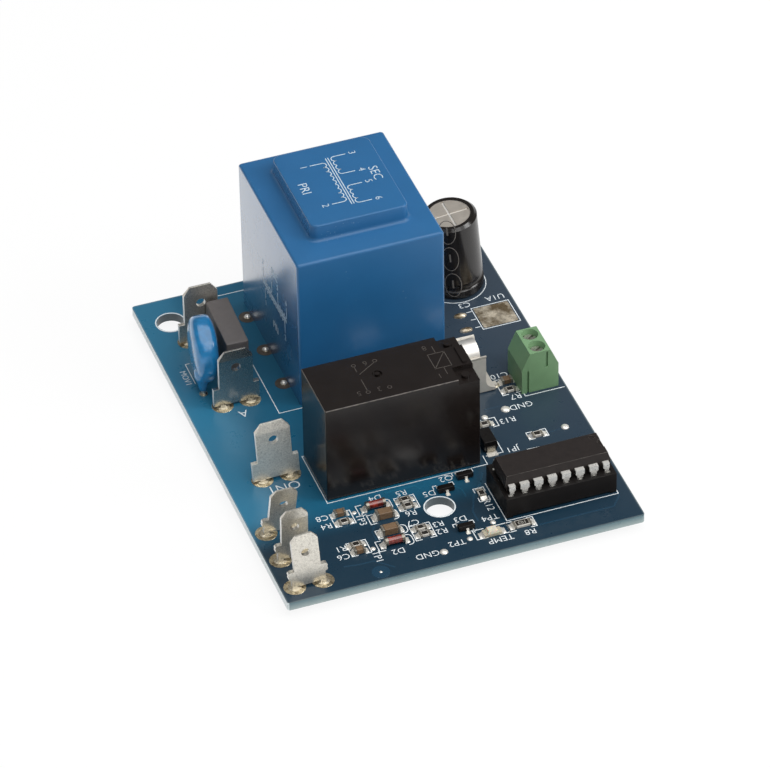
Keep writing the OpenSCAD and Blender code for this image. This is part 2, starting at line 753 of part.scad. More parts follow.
module blade_tab(at, size, tip, lean, tilt, ear = []) {
  reach = size[3] + top;
  color("#a9a69f") on_board(at) intersection() {
    rotate([90, -tilt, 0]) linear_extrude(reach, center = true) tab_outline(size, tip, ear);
    rotate([90, 0, 90]) linear_extrude(2 * size[1], center = true) tab_section(size[3], lean);
  }
}

module wide_tab(i) { blade_tab(wide_places[i], wide_tab, wide_tip, wide_set[i][1], wide_set[i][2]); }
module narrow_tab(i) {
  blade_tab(narrow_places[i], narrow_tab, narrow_tip, narrow_set[i][1], narrow_set[i][2], narrow_ear);
}
module wide_tab_back() { wide_tab(0); }
module wide_tab_middle() { wide_tab(1); }
module wide_tab_front() { wide_tab(2); }
module narrow_tab_back() { narrow_tab(0); }
module narrow_tab_middle() { narrow_tab(1); }
module narrow_tab_front() { narrow_tab(2); }

// Frame on the fuse's axis, with the revolve's axis turned along X.
module fuse_frame() {
  on_board(fuse_at, fuse_z) rotate([0, 90, 0]) children();
}

// Floor of an end cap, depth of the wire's joint in it, and half the length of the tube.
cap_floor = 0.5;
wire_joint = 0.25;
tube_half = fuse_len / 2 - cap_floor;

module fuse_tube() {
  color("#dfe6e4") fuse_frame() difference() {
    cylinder(r = fuse_glass[0], h = 2 * tube_half, center = true);
    cylinder(r = fuse_glass[1], h = 2 * tube_half + cut, center = true);
  }
}

// End caps: cups pressed over the tube, drilled where the wire is soldered in.
module fuse_caps() {
  color("#d8d8d4") fuse_frame() for (a = [0, 180]) rotate([a, 0, 0]) difference() {
    translate([0, 0, fuse_len / 2 - fuse_cap[1]]) cylinder(r = fuse_cap[0], h = fuse_cap[1]);
    translate([0, 0, fuse_len / 2 - fuse_cap[1] - cut])
      cylinder(r = fuse_glass[0], h = fuse_cap[1] - cap_floor + cut);
    cylinder(r = fuse_wire_r, h = tube_half + wire_joint);
  }
}

module fuse_wire() {
  color("#c9c9c4") fuse_frame() cylinder(r = fuse_wire_r, h = 2 * (tube_half + wire_joint), center = true);
}

clip_foot_z = 0.25;

// Side section of a spring clip: foot, upright walls, arcs over the end cap and flared lips.
module clip_section() {
  r = fuse_cap[0];
  t = clip_size[2];
  hold = 10;
  end = [cos(hold), sin(hold)];
  far = 2 * (r + t);
  lip = [0.35, 0.7];
  difference() {
    union() {
      translate([0, fuse_z]) circle(r + t);
      translate([-r - t, clip_foot_z]) square([2 * (r + t), fuse_z - clip_foot_z]);
    }
    translate([0, fuse_z]) circle(r);
    translate([0, fuse_z]) polygon([[0, 0], far * end, [0, far], far * [-end.x, end.y]]);
    translate([-r, clip_foot_z + t]) square([2 * r, fuse_z - clip_foot_z - t]);
  }
  for (s = [-1, 1]) scale([s, 1]) translate([0, fuse_z] + r * end)
    polygon([[0, 0], t * end, t * end + lip, lip]);
}

// Front outline of a spring clip: a prong that widens into its foot.
module clip_outline() {
  flare = (clip_size[1] - clip_size[0]) / 2;
  foot_h = 0.55;
  h = fuse_z + fuse_cap[0];
  difference() {
    translate([-clip_size[1] / 2, 0]) square([clip_size[1], h]);
    for (s = [-1, 1]) translate([s * (clip_size[0] / 2 + flare), clip_foot_z + foot_h + flare]) {
      circle(flare);
      translate([-flare, 0]) square([2 * flare, h]);
    }
  }
}

module fuse_clip(x) {
  t = clip_size[2];
  color("#b7b4ab") on_board(fuse_at) translate([x, 0, 0]) {
    intersection() {
      rotate([90, 0, 90]) linear_extrude(clip_size[1], center = true) clip_section();
      rotate([90, 0, 0]) linear_extrude(4 * fuse_cap[0], center = true) clip_outline();
    }
    translate([0, clip_leg_y, clip_foot_z]) block(2 * clip_leg_x + t, clip_leg_w, t);
    for (s = [-1, 1]) translate([s * clip_leg_x, clip_leg_y, 0])
      flat_lead(t, clip_leg_w, clip_foot_z + t);
  }
}

module fuse_clip_left() { fuse_clip(clip_xs[0]); }
module fuse_clip_right() { fuse_clip(clip_xs[1]); }

chip_end_w = 0.4;
small_h = 0.5;
ceramic_h = [1, 1.4];

// Body of a chip part between its end caps.
module chip_middle(part, h) {
  size = part[3] == 0 ? small_chip : large_chip;
  on_board(part) rotate(part[2]) block(size.x - 2 * chip_end_w, size.y, h);
}

// Both end caps of a chip part.
module chip_pair(part, h) {
  size = part[3] == 0 ? small_chip : large_chip;
  on_board(part) rotate(part[2]) for (s = [-1, 1]) translate([s * (size.x - chip_end_w) / 2, 0, 0])
    block(chip_end_w, size.y, h);
}

module resistor_bodies() {
  color("#2b2926") for (p = resistors) chip_middle(p, small_h);
}

module ceramic_bodies() {
  color("#9a7a5a") for (p = ceramics) chip_middle(p, ceramic_h[p[3]]);
}

module chip_ends() {
  color("#bdb9b0") {
    for (p = resistors) chip_pair(p, small_h);
    for (p = ceramics) chip_pair(p, ceramic_h[p[3]]);
  }
}

diode_r = 0.8;
diode_len = 3.5;
diode_end = 0.5;
diode_neck = 0.1;

module diode_glass() {
  color("#c4553a") for (p = diodes) on_board(p, diode_r) rotate([0, 90, 0])
    cylinder(r = diode_r - diode_neck, h = diode_len - 2 * diode_end, center = true);
}

module diode_ends() {
  color("#c9c6bd") for (p = diodes, s = [-1, 1]) on_board(p, diode_r)
    translate([s * (diode_len - diode_end) / 2, 0, 0]) rotate([0, 90, 0])
      cylinder(r = diode_r, h = diode_end, center = true);
}

triode_size = [2.9, 1.3, 1];
triode_lead = [0.45, 0.14];
triode_bend = 0.3;
triode_foot = 0.35;
triode_row = 0.95;
triode_lift = 0.05;
part_draft = 0.1;
part_slab = 0.2;

// Three-lead package: two leads at the front and one at the back.
module triode_bodies() {
  color("#26211f") for (p = triodes) on_board(p, triode_lift) rotate(p[2]) hull() {
    block(triode_size.x - part_draft, triode_size.y - 2 * part_draft, triode_size.z);
    translate([0, 0, (triode_size.z - part_slab) / 2]) block(triode_size.x, triode_size.y, part_slab);
  }
}

// Side section of a bent lead from the package's side down to its foot.
module triode_section() {
  t = triode_lead.y;
  root = triode_size.y / 2;
  translate([root, triode_size.z / 2]) square([triode_bend, t]);
  translate([root + triode_bend - t, 0]) square([t, triode_size.z / 2 + t]);
  translate([root + triode_bend - t, 0]) square([triode_foot + t, t]);
}

module triode_leads() {
  places = [[-triode_row, -90], [triode_row, -90], [0, 90]];
  color("#c9c6bd") for (p = triodes) on_board(p) rotate(p[2]) for (q = places) translate([q.x, 0, 0])
    rotate(q.y) rotate([90, 0, 0]) linear_extrude(triode_lead.x, center = true) triode_section();
}

rectifier_size = [2.6, 4.3, 2];
rectifier_lead = [1.5, 0.2];

module rectifier_body() {
  draft = 0.15;
  color("#1e1b1a") on_board(rectifier_at, rectifier_lead.y) hull() {
    block(rectifier_size.x - 2 * draft, rectifier_size.y - 2 * draft, rectifier_size.z);
    translate([0, 0, (rectifier_size.z - part_slab) / 2])
      block(rectifier_size.x, rectifier_size.y, part_slab);
  }
}

// Rectifier leads: folded down from the parting line and under the body.
module rectifier_leads() {
  w = rectifier_lead.x;
  t = rectifier_lead.y;
  tuck = 0.8;
  color("#c2bfb6") on_board(rectifier_at) for (s = [-1, 1]) {
    translate([0, s * (rectifier_size.y + t) / 2, 0]) block(w, t, rectifier_size.z / 2 + 1.5 * t);
    translate([0, s * (rectifier_size.y / 2 + t - (tuck + t) / 2), 0]) block(w, tuck + t, t);
  }
}

lamp_size = [3.2, 1.6];
lamp_base_t = 0.5;
lens_foot = [2, 1.6, 0.1];
lens_top = [1.6, 1.3, 0.6];

module lamp_base() {
  color("#d9d2bd") on_board(lamp_at) block(lamp_size.x, lamp_size.y, lamp_base_t);
}

module lamp_lens() {
  color("#efe7cf") on_board(lamp_at, lamp_base_t) hull() {
    block(lens_foot.x, lens_foot.y, lens_foot.z);
    block(lens_top.x, lens_top.y, lens_top.z);
  }
}

// Solder round one lead: a fillet below the board, the filling of its hole and, where seen, a fillet above.
module solder_body(hole_r, below, above = []) {
  rim = 0.1;
  fillet = above == [] ? [[0, 0]] : [[above.x, 0], [above.x, rim], [hole_r - rim, above.y], [0, above.y]];
  rotate_extrude() polygon(concat([[0, -board_t - below.y], [hole_r - rim, -board_t - below.y],
    [below.x, -board_t - rim], [below.x, -board_t], [hole_r, -board_t], [hole_r, 0]], fillet));
}

// Solder fillets below and above the board: radius and height.
leg_below = [1.6, 1.1];
leg_above = [1.2, 0.2];
pin_below = [1.2, 1];
pin_above = [0.75, 0.12];
thin_below = [0.8, 0.9];
clip_above = [0.8, clip_foot_z];
dome = [0.65, 0.45];

module solder_joints() {
  color("#cfccc2") {
    difference() {
      for (p = leg_places) on_board(p) solder_body(leg_hole, leg_below, leg_above);
      wide_tab_back();
      wide_tab_middle();
      wide_tab_front();
      narrow_tab_back();
      narrow_tab_middle();
      narrow_tab_front();
    }
    for (p = clip_places) on_board(p) difference() {
      solder_body(pin_hole, pin_below, clip_above);
      flat_lead(clip_size[2], clip_leg_w, cut);
    }
    for (p = coil_places) on_board(p) difference() {
      solder_body(pin_hole, pin_below);
      round_lead(coil_pin_r, cut);
    }
    for (p = relay_places) on_board(p) difference() {
      solder_body(pin_hole, pin_below);
      flat_lead(relay_pin.x, relay_pin.y, cut);
    }
    for (p = bar_places) on_board(p) difference() {
      solder_body(pin_hole, pin_below);
      flat_lead(bar_leg, bar_tail_w, cut);
    }
    for (p = disc_places) on_board(p) difference() {
      solder_body(pin_hole, pin_below, pin_above);
      round_lead(disc_lead_r, cut);
    }
    for (p = cap_places) on_board(p) difference() {
      solder_body(thin_hole, thin_below);
      round_lead(cap_lead_r, cut);
    }
    for (p = film_places) on_board(p) difference() {
      solder_body(thin_hole, thin_below);
      round_lead(film_lead_r, cut);
    }
    for (p = socket_places) on_board(p) difference() {
      solder_body(thin_hole, thin_below);
      flat_lead(contact_tail.x, contact_tail.y, cut);
    }
    for (p = spare_places) on_board(p) solder_body(thin_hole, thin_below, dome);
  }
}

circuit_board();
transformer_case();
transformer_resin();
transformer_pins();
relay_cover();
relay_base();
relay_pins();
capacitor_can();
capacitor_sleeve();
capacitor_bung();
capacitor_leads();
chip_body();
chip_pins();
chip_socket();
socket_contacts();
terminal_housing();
terminal_screw_front();
terminal_screw_back();
terminal_cage_front();
terminal_cage_back();
terminal_bars();
varistor_disc();
varistor_leads();
film_box();
film_leads();
wide_tab_back();
wide_tab_middle();
wide_tab_front();
narrow_tab_back();
narrow_tab_middle();
narrow_tab_front();
fuse_tube();
fuse_caps();
fuse_wire();
fuse_clip_left();
fuse_clip_right();
resistor_bodies();
ceramic_bodies();
chip_ends();
diode_glass();
diode_ends();
triode_bodies();
triode_leads();
rectifier_body();
rectifier_leads();
lamp_lens();
lamp_base();
solder_joints();
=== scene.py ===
"""Looks of the level control board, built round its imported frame: finishes, print, solder and studio.

Every shape is worked out in board millimetres: x to the right and y to the back from the front-left corner,
and z above the laminate's top face.
"""

import logging
import math
from dataclasses import dataclass, field, replace
from enum import Enum
from typing import Any, Sequence

import bmesh
import bpy
import numpy as np
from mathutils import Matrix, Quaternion, Vector


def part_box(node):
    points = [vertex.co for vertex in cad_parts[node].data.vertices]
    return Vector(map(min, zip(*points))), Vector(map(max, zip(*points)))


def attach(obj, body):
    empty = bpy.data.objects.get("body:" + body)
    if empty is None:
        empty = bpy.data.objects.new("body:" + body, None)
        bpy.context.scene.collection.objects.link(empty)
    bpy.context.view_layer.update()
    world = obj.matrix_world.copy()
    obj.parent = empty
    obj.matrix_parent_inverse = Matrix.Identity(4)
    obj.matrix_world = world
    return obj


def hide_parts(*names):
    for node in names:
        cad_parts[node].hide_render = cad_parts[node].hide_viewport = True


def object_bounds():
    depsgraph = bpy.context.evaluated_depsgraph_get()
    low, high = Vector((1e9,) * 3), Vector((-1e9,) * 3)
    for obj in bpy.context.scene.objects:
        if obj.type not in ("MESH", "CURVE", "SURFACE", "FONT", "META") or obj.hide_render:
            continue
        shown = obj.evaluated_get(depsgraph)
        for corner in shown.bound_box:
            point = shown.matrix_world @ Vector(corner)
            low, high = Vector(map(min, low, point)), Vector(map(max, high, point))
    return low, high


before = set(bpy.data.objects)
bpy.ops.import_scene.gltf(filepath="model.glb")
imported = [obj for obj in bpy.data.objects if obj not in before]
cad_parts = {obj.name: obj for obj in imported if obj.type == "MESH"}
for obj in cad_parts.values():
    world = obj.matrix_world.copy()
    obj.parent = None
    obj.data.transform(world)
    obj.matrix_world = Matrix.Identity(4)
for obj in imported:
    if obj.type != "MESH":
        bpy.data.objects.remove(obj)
CAD_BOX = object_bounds()

LOG = logging.getLogger("level_control_board")
MM = 0.001
BODY = "board"
BOARD_LOW, BOARD_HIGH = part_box("circuit_board")
ORIGIN = np.array([BOARD_LOW.x, BOARD_LOW.y, BOARD_HIGH.z])
BOARD_MM = (BOARD_HIGH.z - BOARD_LOW.z) / MM
# Thickness of print and of a tinned land, in millimetres.
INK, TIN = 0.03, 0.04
# Edges that bend by more than this many degrees stay sharp.
SHARP_DEG = 38
# Range that holds most values of a noise texture.
NOISE_LOW, NOISE_HIGH = 0.3, 0.7
Point = tuple[float, float]
Triple = tuple[float, float, float]
Path = tuple[Point, ...]
Tree = bpy.types.NodeTree
Socket = bpy.types.NodeSocket


def linear(code: str, factor: float = 1.0) -> tuple[float, float, float, float]:
    """Turns an sRGB hex colour into linear light: v / 12.92 near black, else ((v + 0.055) / 1.055) ^ 2.4.

    Args:
        code: Colour such as "#1b5c92".
        factor: Brightness by which the linear colour is multiplied.

    Returns:
        Red, green, blue and an alpha of 1.
    """
    channels = np.array([int(code[i:i + 2], 16) for i in (1, 3, 5)]) / 255
    light = np.where(channels <= 0.04045, channels / 12.92, ((channels + 0.055) / 1.055) ** 2.4)
    return (*np.clip(light * factor, 0, 1).tolist(), 1.0)


def per_mm(size: float) -> float:
    """Texture scale at which one feature of a pattern is `size` millimetres wide in Object coordinates."""
    return 1 / (size * MM)


def add_node(tree: Tree, kind: str, sockets: dict[Any, Any] | None = None,
             **settings: Any) -> bpy.types.Node:
    """Adds a node, sets its properties, and fills its input sockets with links or plain values.

    Args:
        tree: Node tree that takes the node.
        kind: Type name of the node.
        sockets: Input names or numbers, each with an output socket to link or a value to set.
        **settings: Properties of the node.

    Returns:
        The new node.
    """
    node = tree.nodes.new(kind)
    for name, value in settings.items():
        setattr(node, name, value)
    for key, value in (sockets or {}).items():
        if isinstance(value, Socket):
            tree.links.new(value, node.inputs[key])
        else:
            node.inputs[key].default_value = value
    return node


@dataclass
class Shape:
    """A mesh in board millimetres: points, four-sided faces, and caps with any number of sides."""

    points: np.ndarray
    quads: np.ndarray
    caps: list[np.ndarray] = field(default_factory=list)

    def moved(self, at: Sequence[float], turn: float = 0.0) -> "Shape":
        """Turns the shape about Z, then shifts it.

        Args:
            at: Shift in x, y and z.
            turn: Turn in degrees, counter-clockwise seen from above.

        Returns:
            The moved shape.
        """
        cosine, sine = math.cos(math.radians(turn)), math.sin(math.radians(turn))
        spin = np.array([[cosine, -sine, 0], [sine, cosine, 0], [0, 0, 1]])
        return self.mapped(self.points @ spin.T + np.asarray(at, float))

    def mapped(self, points: np.ndarray) -> "Shape":
        """The same faces on other points."""
        return Shape(points, self.quads, self.caps)


def join(shapes: Sequence[Shape]) -> Shape:
    """Puts several shapes into one, with the face numbers of each shifted past the points before it.

    Args:
        shapes: The shapes.

    Returns:
        One shape with all their points and faces.
    """
    starts = np.cumsum([0] + [len(shape.points) for shape in shapes[:-1]])
    return Shape(np.concatenate([shape.points for shape in shapes]),
                 np.concatenate([shape.quads + start for shape, start in zip(shapes, starts)]),
                 [cap + start for shape, start in zip(shapes, starts) for cap in shape.caps])


def loft(rings: np.ndarray, closed: bool = False) -> Shape:
    """Skins a stack of rings, which run counter-clockwise seen from the last one, and caps both ends.

    Args:
        rings: Points as (ring, point, xyz).
        closed: True where the last ring joins the first and there are no caps.

    Returns:
        The closed shape.
    """
    rows, cols = rings.shape[:2]
    row = np.arange(rows if closed else rows - 1)[:, None]
    col = np.arange(cols)[None, :]
    low, high, after = row * cols, (row + 1) % rows * cols, (col + 1) % cols
    quads = np.stack([low + col, low + after, high + after, high + col], axis=-1).reshape(-1, 4)
    ends = [] if closed else [col[0, ::-1], col[0] + (rows - 1) * cols]
    return Shape(rings.reshape(-1, 3), quads, ends)


def round_rects(sections: Sequence[Sequence[float]], steps: int = 6) -> np.ndarray:
    """Rings of rounded rectangles: quarter circles about the centres of the four corners.

    Args:
        sections: One row for each ring: width, depth, corner radius, height, and the middle's x and y.
        steps: Points on each quarter circle.

    Returns:
        Points as (ring, point, xyz).
    """
    angles = (np.arange(4)[:, None] * np.pi / 2 + np.linspace(0, np.pi / 2, steps)).ravel()
    side_x, side_y = np.repeat([1, -1, -1, 1], steps), np.repeat([1, 1, -1, -1], steps)
    width, depth, radius, height, x, y = np.asarray(sections, float).T[:, :, None]
    xs = x + side_x * (width / 2 - radius) + radius * np.cos(angles)
    ys = y + side_y * (depth / 2 - radius) + radius * np.sin(angles)
    return np.stack([xs, ys, np.broadcast_to(height, xs.shape)], axis=-1)


def revolve(profile: Sequence[Point], steps: int = 32) -> Shape:
    """Spins a profile of (radius, height) about Z: x = r cos t, y = r sin t.

    Args:
        profile: Points of the profile, from the lower cap to the upper one.
        steps: Points on each circle.

    Returns:
        The closed shape.
    """
    turn = np.linspace(0, 2 * np.pi, steps, endpoint=False)
    radius, height = np.asarray(profile, float).T[:, :, None]
    rings = np.stack([radius * np.cos(turn), radius * np.sin(turn), height + 0 * turn], axis=-1)
    return loft(rings)


def stroke(path: Sequence[Point], width: float, height: float = INK, base: float = 0.0,
           closed: bool = False) -> Shape:
    """Carries a flat bar along a path in the board's plane, mitred at its bends.

    The side offset at a bend is (n1 + n2) / (1 + n1.n2) half-widths, where n1 and n2 are the left normals of the
    two legs that meet there.

    Args:
        path: Corners of the middle line.
        width: Width of the bar.
        height: Thickness of the bar.
        base: Height of its lower face.
        closed: True where the last corner joins the first.

    Returns:
        The bar.
    """
    line = np.asarray(path, float)
    ahead = np.roll(line, -1, axis=0) - line
    ahead /= np.linalg.norm(ahead, axis=1, keepdims=True)
    if not closed:
        ahead[-1] = ahead[-2]
    behind = np.roll(ahead, 1, axis=0)
    if not closed:
        behind[0] = ahead[0]
    first, second = ahead[:, ::-1] * [-1, 1], behind[:, ::-1] * [-1, 1]
    left = (first + second) / (1 + np.sum(first * second, axis=1, keepdims=True)) * width / 2
    low, high = np.full((len(line), 1), base), np.full((len(line), 1), base + height)
    corners = [(line - left, low), (line + left, low), (line + left, high), (line - left, high)]
    return loft(np.stack([np.hstack(corner) for corner in corners], axis=1), closed)


def arc(at: Point, radius: float, start: float = 0.0, end: float = 360.0, steps: int = 40) -> np.ndarray:
    """Points of a circular arc in the board's plane, from one angle to another in degrees."""
    angles = np.radians(np.linspace(start, end, steps, endpoint=abs(end - start) < 360))
    return np.stack([at[0] + radius * np.cos(angles), at[1] + radius * np.sin(angles)], axis=-1)


def ring(at: Point, radius: float, width: float, height: float = INK) -> Shape:
    """Flat ring of a given middle radius."""
    return stroke(arc(at, radius), width, height, closed=True)


def disc(at: Point, radius: float, height: float = TIN) -> Shape:
    """Flat disc with a softened rim."""
    return revolve([(radius, 0), (radius, height / 2), (radius - height / 2, height)], 36).moved((*at, 0))


def dome(at: Point, radius: float, height: float) -> Shape:
    """Drop of solder: r = R cos a and z = H sin a, up to a tiny flat just short of a quarter turn."""
    angle = np.linspace(0, np.pi / 2 * 0.98, 7)
    return revolve(np.stack([radius * np.cos(angle), height * np.sin(angle)], axis=-1), 24).moved((*at, 0))


def plate(at: Point, size: Point, radius: float, height: float = TIN) -> Shape:
    """Flat pad with round corners."""
    return loft(round_rects([(*size, radius, z, *at) for z in (0, height)], 4))


def solder_toe(width: float, length: float, height: float) -> Shape:
    """Concave slope of solder from a part's end at x = 0 to its pad's end: z = height (1 - x / length)^2.

    Args:
        width: Width of its foot at the part.
        length: Length along x.
        height: Height at the part.

    Returns:
        The slope, along +x.
    """
    taper, crown_share = 0.15, 0.82
    along = np.linspace(0, 1, 7)
    top = TIN + (height - TIN) * (1 - along) ** 2
    half = width / 2 * (1 - taper * along)
    crown = half * crown_share
    corners = [(-half, 0 * along), (half, 0 * along), (crown, top), (-crown, top)]
    return loft(np.stack([np.stack([along * length, y, z], axis=-1) for y, z in corners], axis=1))


def lettering(text: str, height: float, thickness: float = INK) -> Shape:
    """A word as a thin plate: the built-in font's outlines, filled, centred and given a thickness.

    Args:
        text: Word to draw.
        height: Height of a capital.
        thickness: Thickness of the plate.

    Returns:
        The word about the origin, reading along +x.
    """
    cap_share, thinning = 0.7, 0.012
    curve = bpy.data.curves.new("lettering", "FONT")
    curve.body, curve.size, curve.extrude, curve.resolution_u = text, height / cap_share, thickness / 2, 3
    curve.offset = -thinning * height
    curve.align_x, curve.align_y = "CENTER", "CENTER"
    holder = bpy.data.objects.new("lettering", curve)
    mesh = bpy.data.meshes.new_from_object(holder)
    work = bmesh.new()
    work.from_mesh(mesh)
    bmesh.ops.remove_doubles(work, verts=work.verts, dist=1e-5)
    work.to_mesh(mesh)
    work.free()
    points = np.empty(len(mesh.vertices) * 3)
    mesh.vertices.foreach_get("co", points)
    faces = [np.array(polygon.vertices[:]) for polygon in mesh.polygons]
    bpy.data.objects.remove(holder)
    bpy.data.curves.remove(curve)
    bpy.data.meshes.remove(mesh)
    return Shape(points.reshape(-1, 3) + [0, 0, thickness / 2], np.empty((0, 4), int), faces)


@dataclass(frozen=True)
class Finish:
    """A moulded, coated or fired surface: its colour, gloss, mottle and grain.

    Attributes:
        name: Common name of the material.
        colour: Base colour.
        roughness: Middle roughness.
        metallic: 1 for a metal.
        coat: Weight of a clear gloss on top.
        coat_ior: Refractive index of that gloss.
        mottle: Share by which the colour varies.
        mottle_mm: Size of the colour's patches.
        uneven: Share by which the roughness varies.
        grain: Strength of the surface's bumps, 0 for none.
        grain_mm: Size of a bump.
        depth_mm: Height of a bump.
        specular: Strength of its reflection, 0.5 for a refractive index of 1.5.
    """

    name: str
    colour: str
    roughness: float = 0.45
    metallic: float = 0.0
    coat: float = 0.0
    coat_ior: float = 1.5
    mottle: float = 0.12
    mottle_mm: float = 2.5
    uneven: float = 0.08
    grain: float = 0.0
    grain_mm: float = 0.4
    depth_mm: float = 0.01
    specular: float = 0.5

    def material(self) -> bpy.types.Material:
        """Makes the material on first use.

        Returns:
            The one material with this finish's name.
        """
        known = bpy.data.materials.get(self.name)
        if known:
            return known
        material = bpy.data.materials.new(self.name)
        material.use_nodes = True
        shader = material.node_tree.nodes["Principled BSDF"]
        for socket, value in (("Metallic", self.metallic), ("Coat Weight", self.coat), ("Coat IOR", self.coat_ior),
                              ("Coat Roughness", self.roughness), ("Specular IOR Level", self.specular)):
            shader.inputs[socket].default_value = value
        material.diffuse_color = linear(self.colour)
        self.paint(material.node_tree, shader)
        return material

    def paint(self, tree: Tree, shader: bpy.types.Node) -> None:
        """Adds the mottle, the uneven gloss and the grain.

        Args:
            tree: The material's nodes.
            shader: Its shader.
        """
        place = add_node(tree, "ShaderNodeTexCoord").outputs["Object"]
        tree.links.new(self.tone(tree, place), shader.inputs["Base Color"])
        self.gloss(tree, place, shader)

    def tone(self, tree: Tree, place: Socket) -> Socket:
        """Colour that drifts between a darker and a lighter shade in soft patches.

        Args:
            tree: The material's nodes.
            place: Object coordinates.

        Returns:
            The colour's socket.
        """
        cloud = add_node(tree, "ShaderNodeTexNoise", {"Vector": place, "Scale": per_mm(self.mottle_mm), "Detail": 5.0})
        spread = add_node(tree, "ShaderNodeMapRange", {"Value": cloud.outputs[0], "From Min": NOISE_LOW,
                                                       "From Max": NOISE_HIGH})
        mix = add_node(tree, "ShaderNodeMix", {0: spread.outputs[0], 6: linear(self.colour, 1 - self.mottle),
                                               7: linear(self.colour, 1 + self.mottle)}, data_type="RGBA")
        return mix.outputs[2]

    def gloss(self, tree: Tree, place: Socket, shader: bpy.types.Node) -> None:
        """Links uneven roughness and fine bumps to the shader.

        Args:
            tree: The material's nodes.
            place: Object coordinates.
            shader: The material's shader.
        """
        smear_share, smoothest = 0.6, 0.03
        smear = add_node(tree, "ShaderNodeTexNoise", {"Vector": place, "Scale": per_mm(self.mottle_mm * smear_share),
                                                      "Detail": 6.0, "Roughness": 0.65})
        rough = add_node(tree, "ShaderNodeMapRange", {
            "Value": smear.outputs[0], "From Min": NOISE_LOW, "From Max": NOISE_HIGH,
            "To Min": max(self.roughness - self.uneven, smoothest), "To Max": self.roughness + self.uneven})
        tree.links.new(rough.outputs[0], shader.inputs["Roughness"])
        if not self.grain:
            return
        bumps = add_node(tree, "ShaderNodeTexNoise", {"Vector": place, "Scale": per_mm(self.grain_mm), "Detail": 3.0})
        bump = add_node(tree, "ShaderNodeBump", {"Height": bumps.outputs[0], "Strength": self.grain,
                                                 "Distance": self.depth_mm * MM})
        tree.links.new(bump.outputs[0], shader.inputs["Normal"])


@dataclass(frozen=True)
class ScuffedMoulding(Finish):
    """Gloss moulding that has picked up short pale scuffs in handling.

    Attributes:
        scuff: Colour of a scuff.
        scuff_mm: Length of a scuff.
        patch_mm: Size of the patches in which scuffs gather.
        squeeze: How much narrower a scuff is along each axis.
        share: Level that the mean of both noises has to pass.
        fade: Range over which a scuff fades in.
        strength: Weight of a full scuff.
    """

    scuff: str = "#9db8cc"
    scuff_mm: float = 0.5
    patch_mm: float = 7.0
    squeeze: Triple = (1.0, 2.6, 1.4)
    share: float = 0.68
    fade: float = 0.06
    strength: float = 0.3

    def tone(self, tree: Tree, place: Socket) -> Socket:
        """Adds scuffs where a fine noise and a broad one are both high; see `Finish.tone`."""
        base = super().tone(tree, place)
        squeezed = add_node(tree, "ShaderNodeMapping", {"Vector": place, "Scale": self.squeeze}).outputs[0]
        fine, broad = [add_node(tree, "ShaderNodeTexNoise", {"Vector": way, "Scale": per_mm(size), "Detail": 2.0})
                       for way, size in ((squeezed, self.scuff_mm), (place, self.patch_mm))]
        both = add_node(tree, "ShaderNodeMath", {0: fine.outputs[0], 1: broad.outputs[0]}, operation="ADD")
        mask = add_node(tree, "ShaderNodeMapRange", {
            "Value": both.outputs[0], "From Min": 2 * self.share, "From Max": 2 * self.share + self.fade,
            "To Max": self.strength})
        mix = add_node(tree, "ShaderNodeMix", {0: mask.outputs[0], 6: base, 7: linear(self.scuff)}, data_type="RGBA")
        return mix.outputs[2]


@dataclass(frozen=True)
class SpottedMetal(Finish):
    """Tin plate or solder: bright metal with dull grey patches and small stains.

    Attributes:
        stain: Colour of a stain.
        stain_mm: Size of a stain.
        stained: Weight of a full stain.
        spread: Levels of its noise between which a stain fades in; the lower they are, the more is stained.
    """

    stain: str = "#6b6458"
    stain_mm: float = 0.6
    stained: float = 0.5
    spread: Point = (0.5, 0.78)

    def tone(self, tree: Tree, place: Socket) -> Socket:
        """Adds stains where a noise passes a threshold; see `Finish.tone`."""
        base = super().tone(tree, place)
        spots = add_node(tree, "ShaderNodeTexNoise", {"Vector": place, "Scale": per_mm(self.stain_mm), "Detail": 4.0,
                                                      "Roughness": 0.6})
        mask = add_node(tree, "ShaderNodeMapRange", {"Value": spots.outputs[0], "From Min": self.spread[0],
                                                     "From Max": self.spread[1], "To Max": self.stained})
        mix = add_node(tree, "ShaderNodeMix", {0: mask.outputs[0], 6: base, 7: linear(self.stain)}, data_type="RGBA")
        return mix.outputs[2]


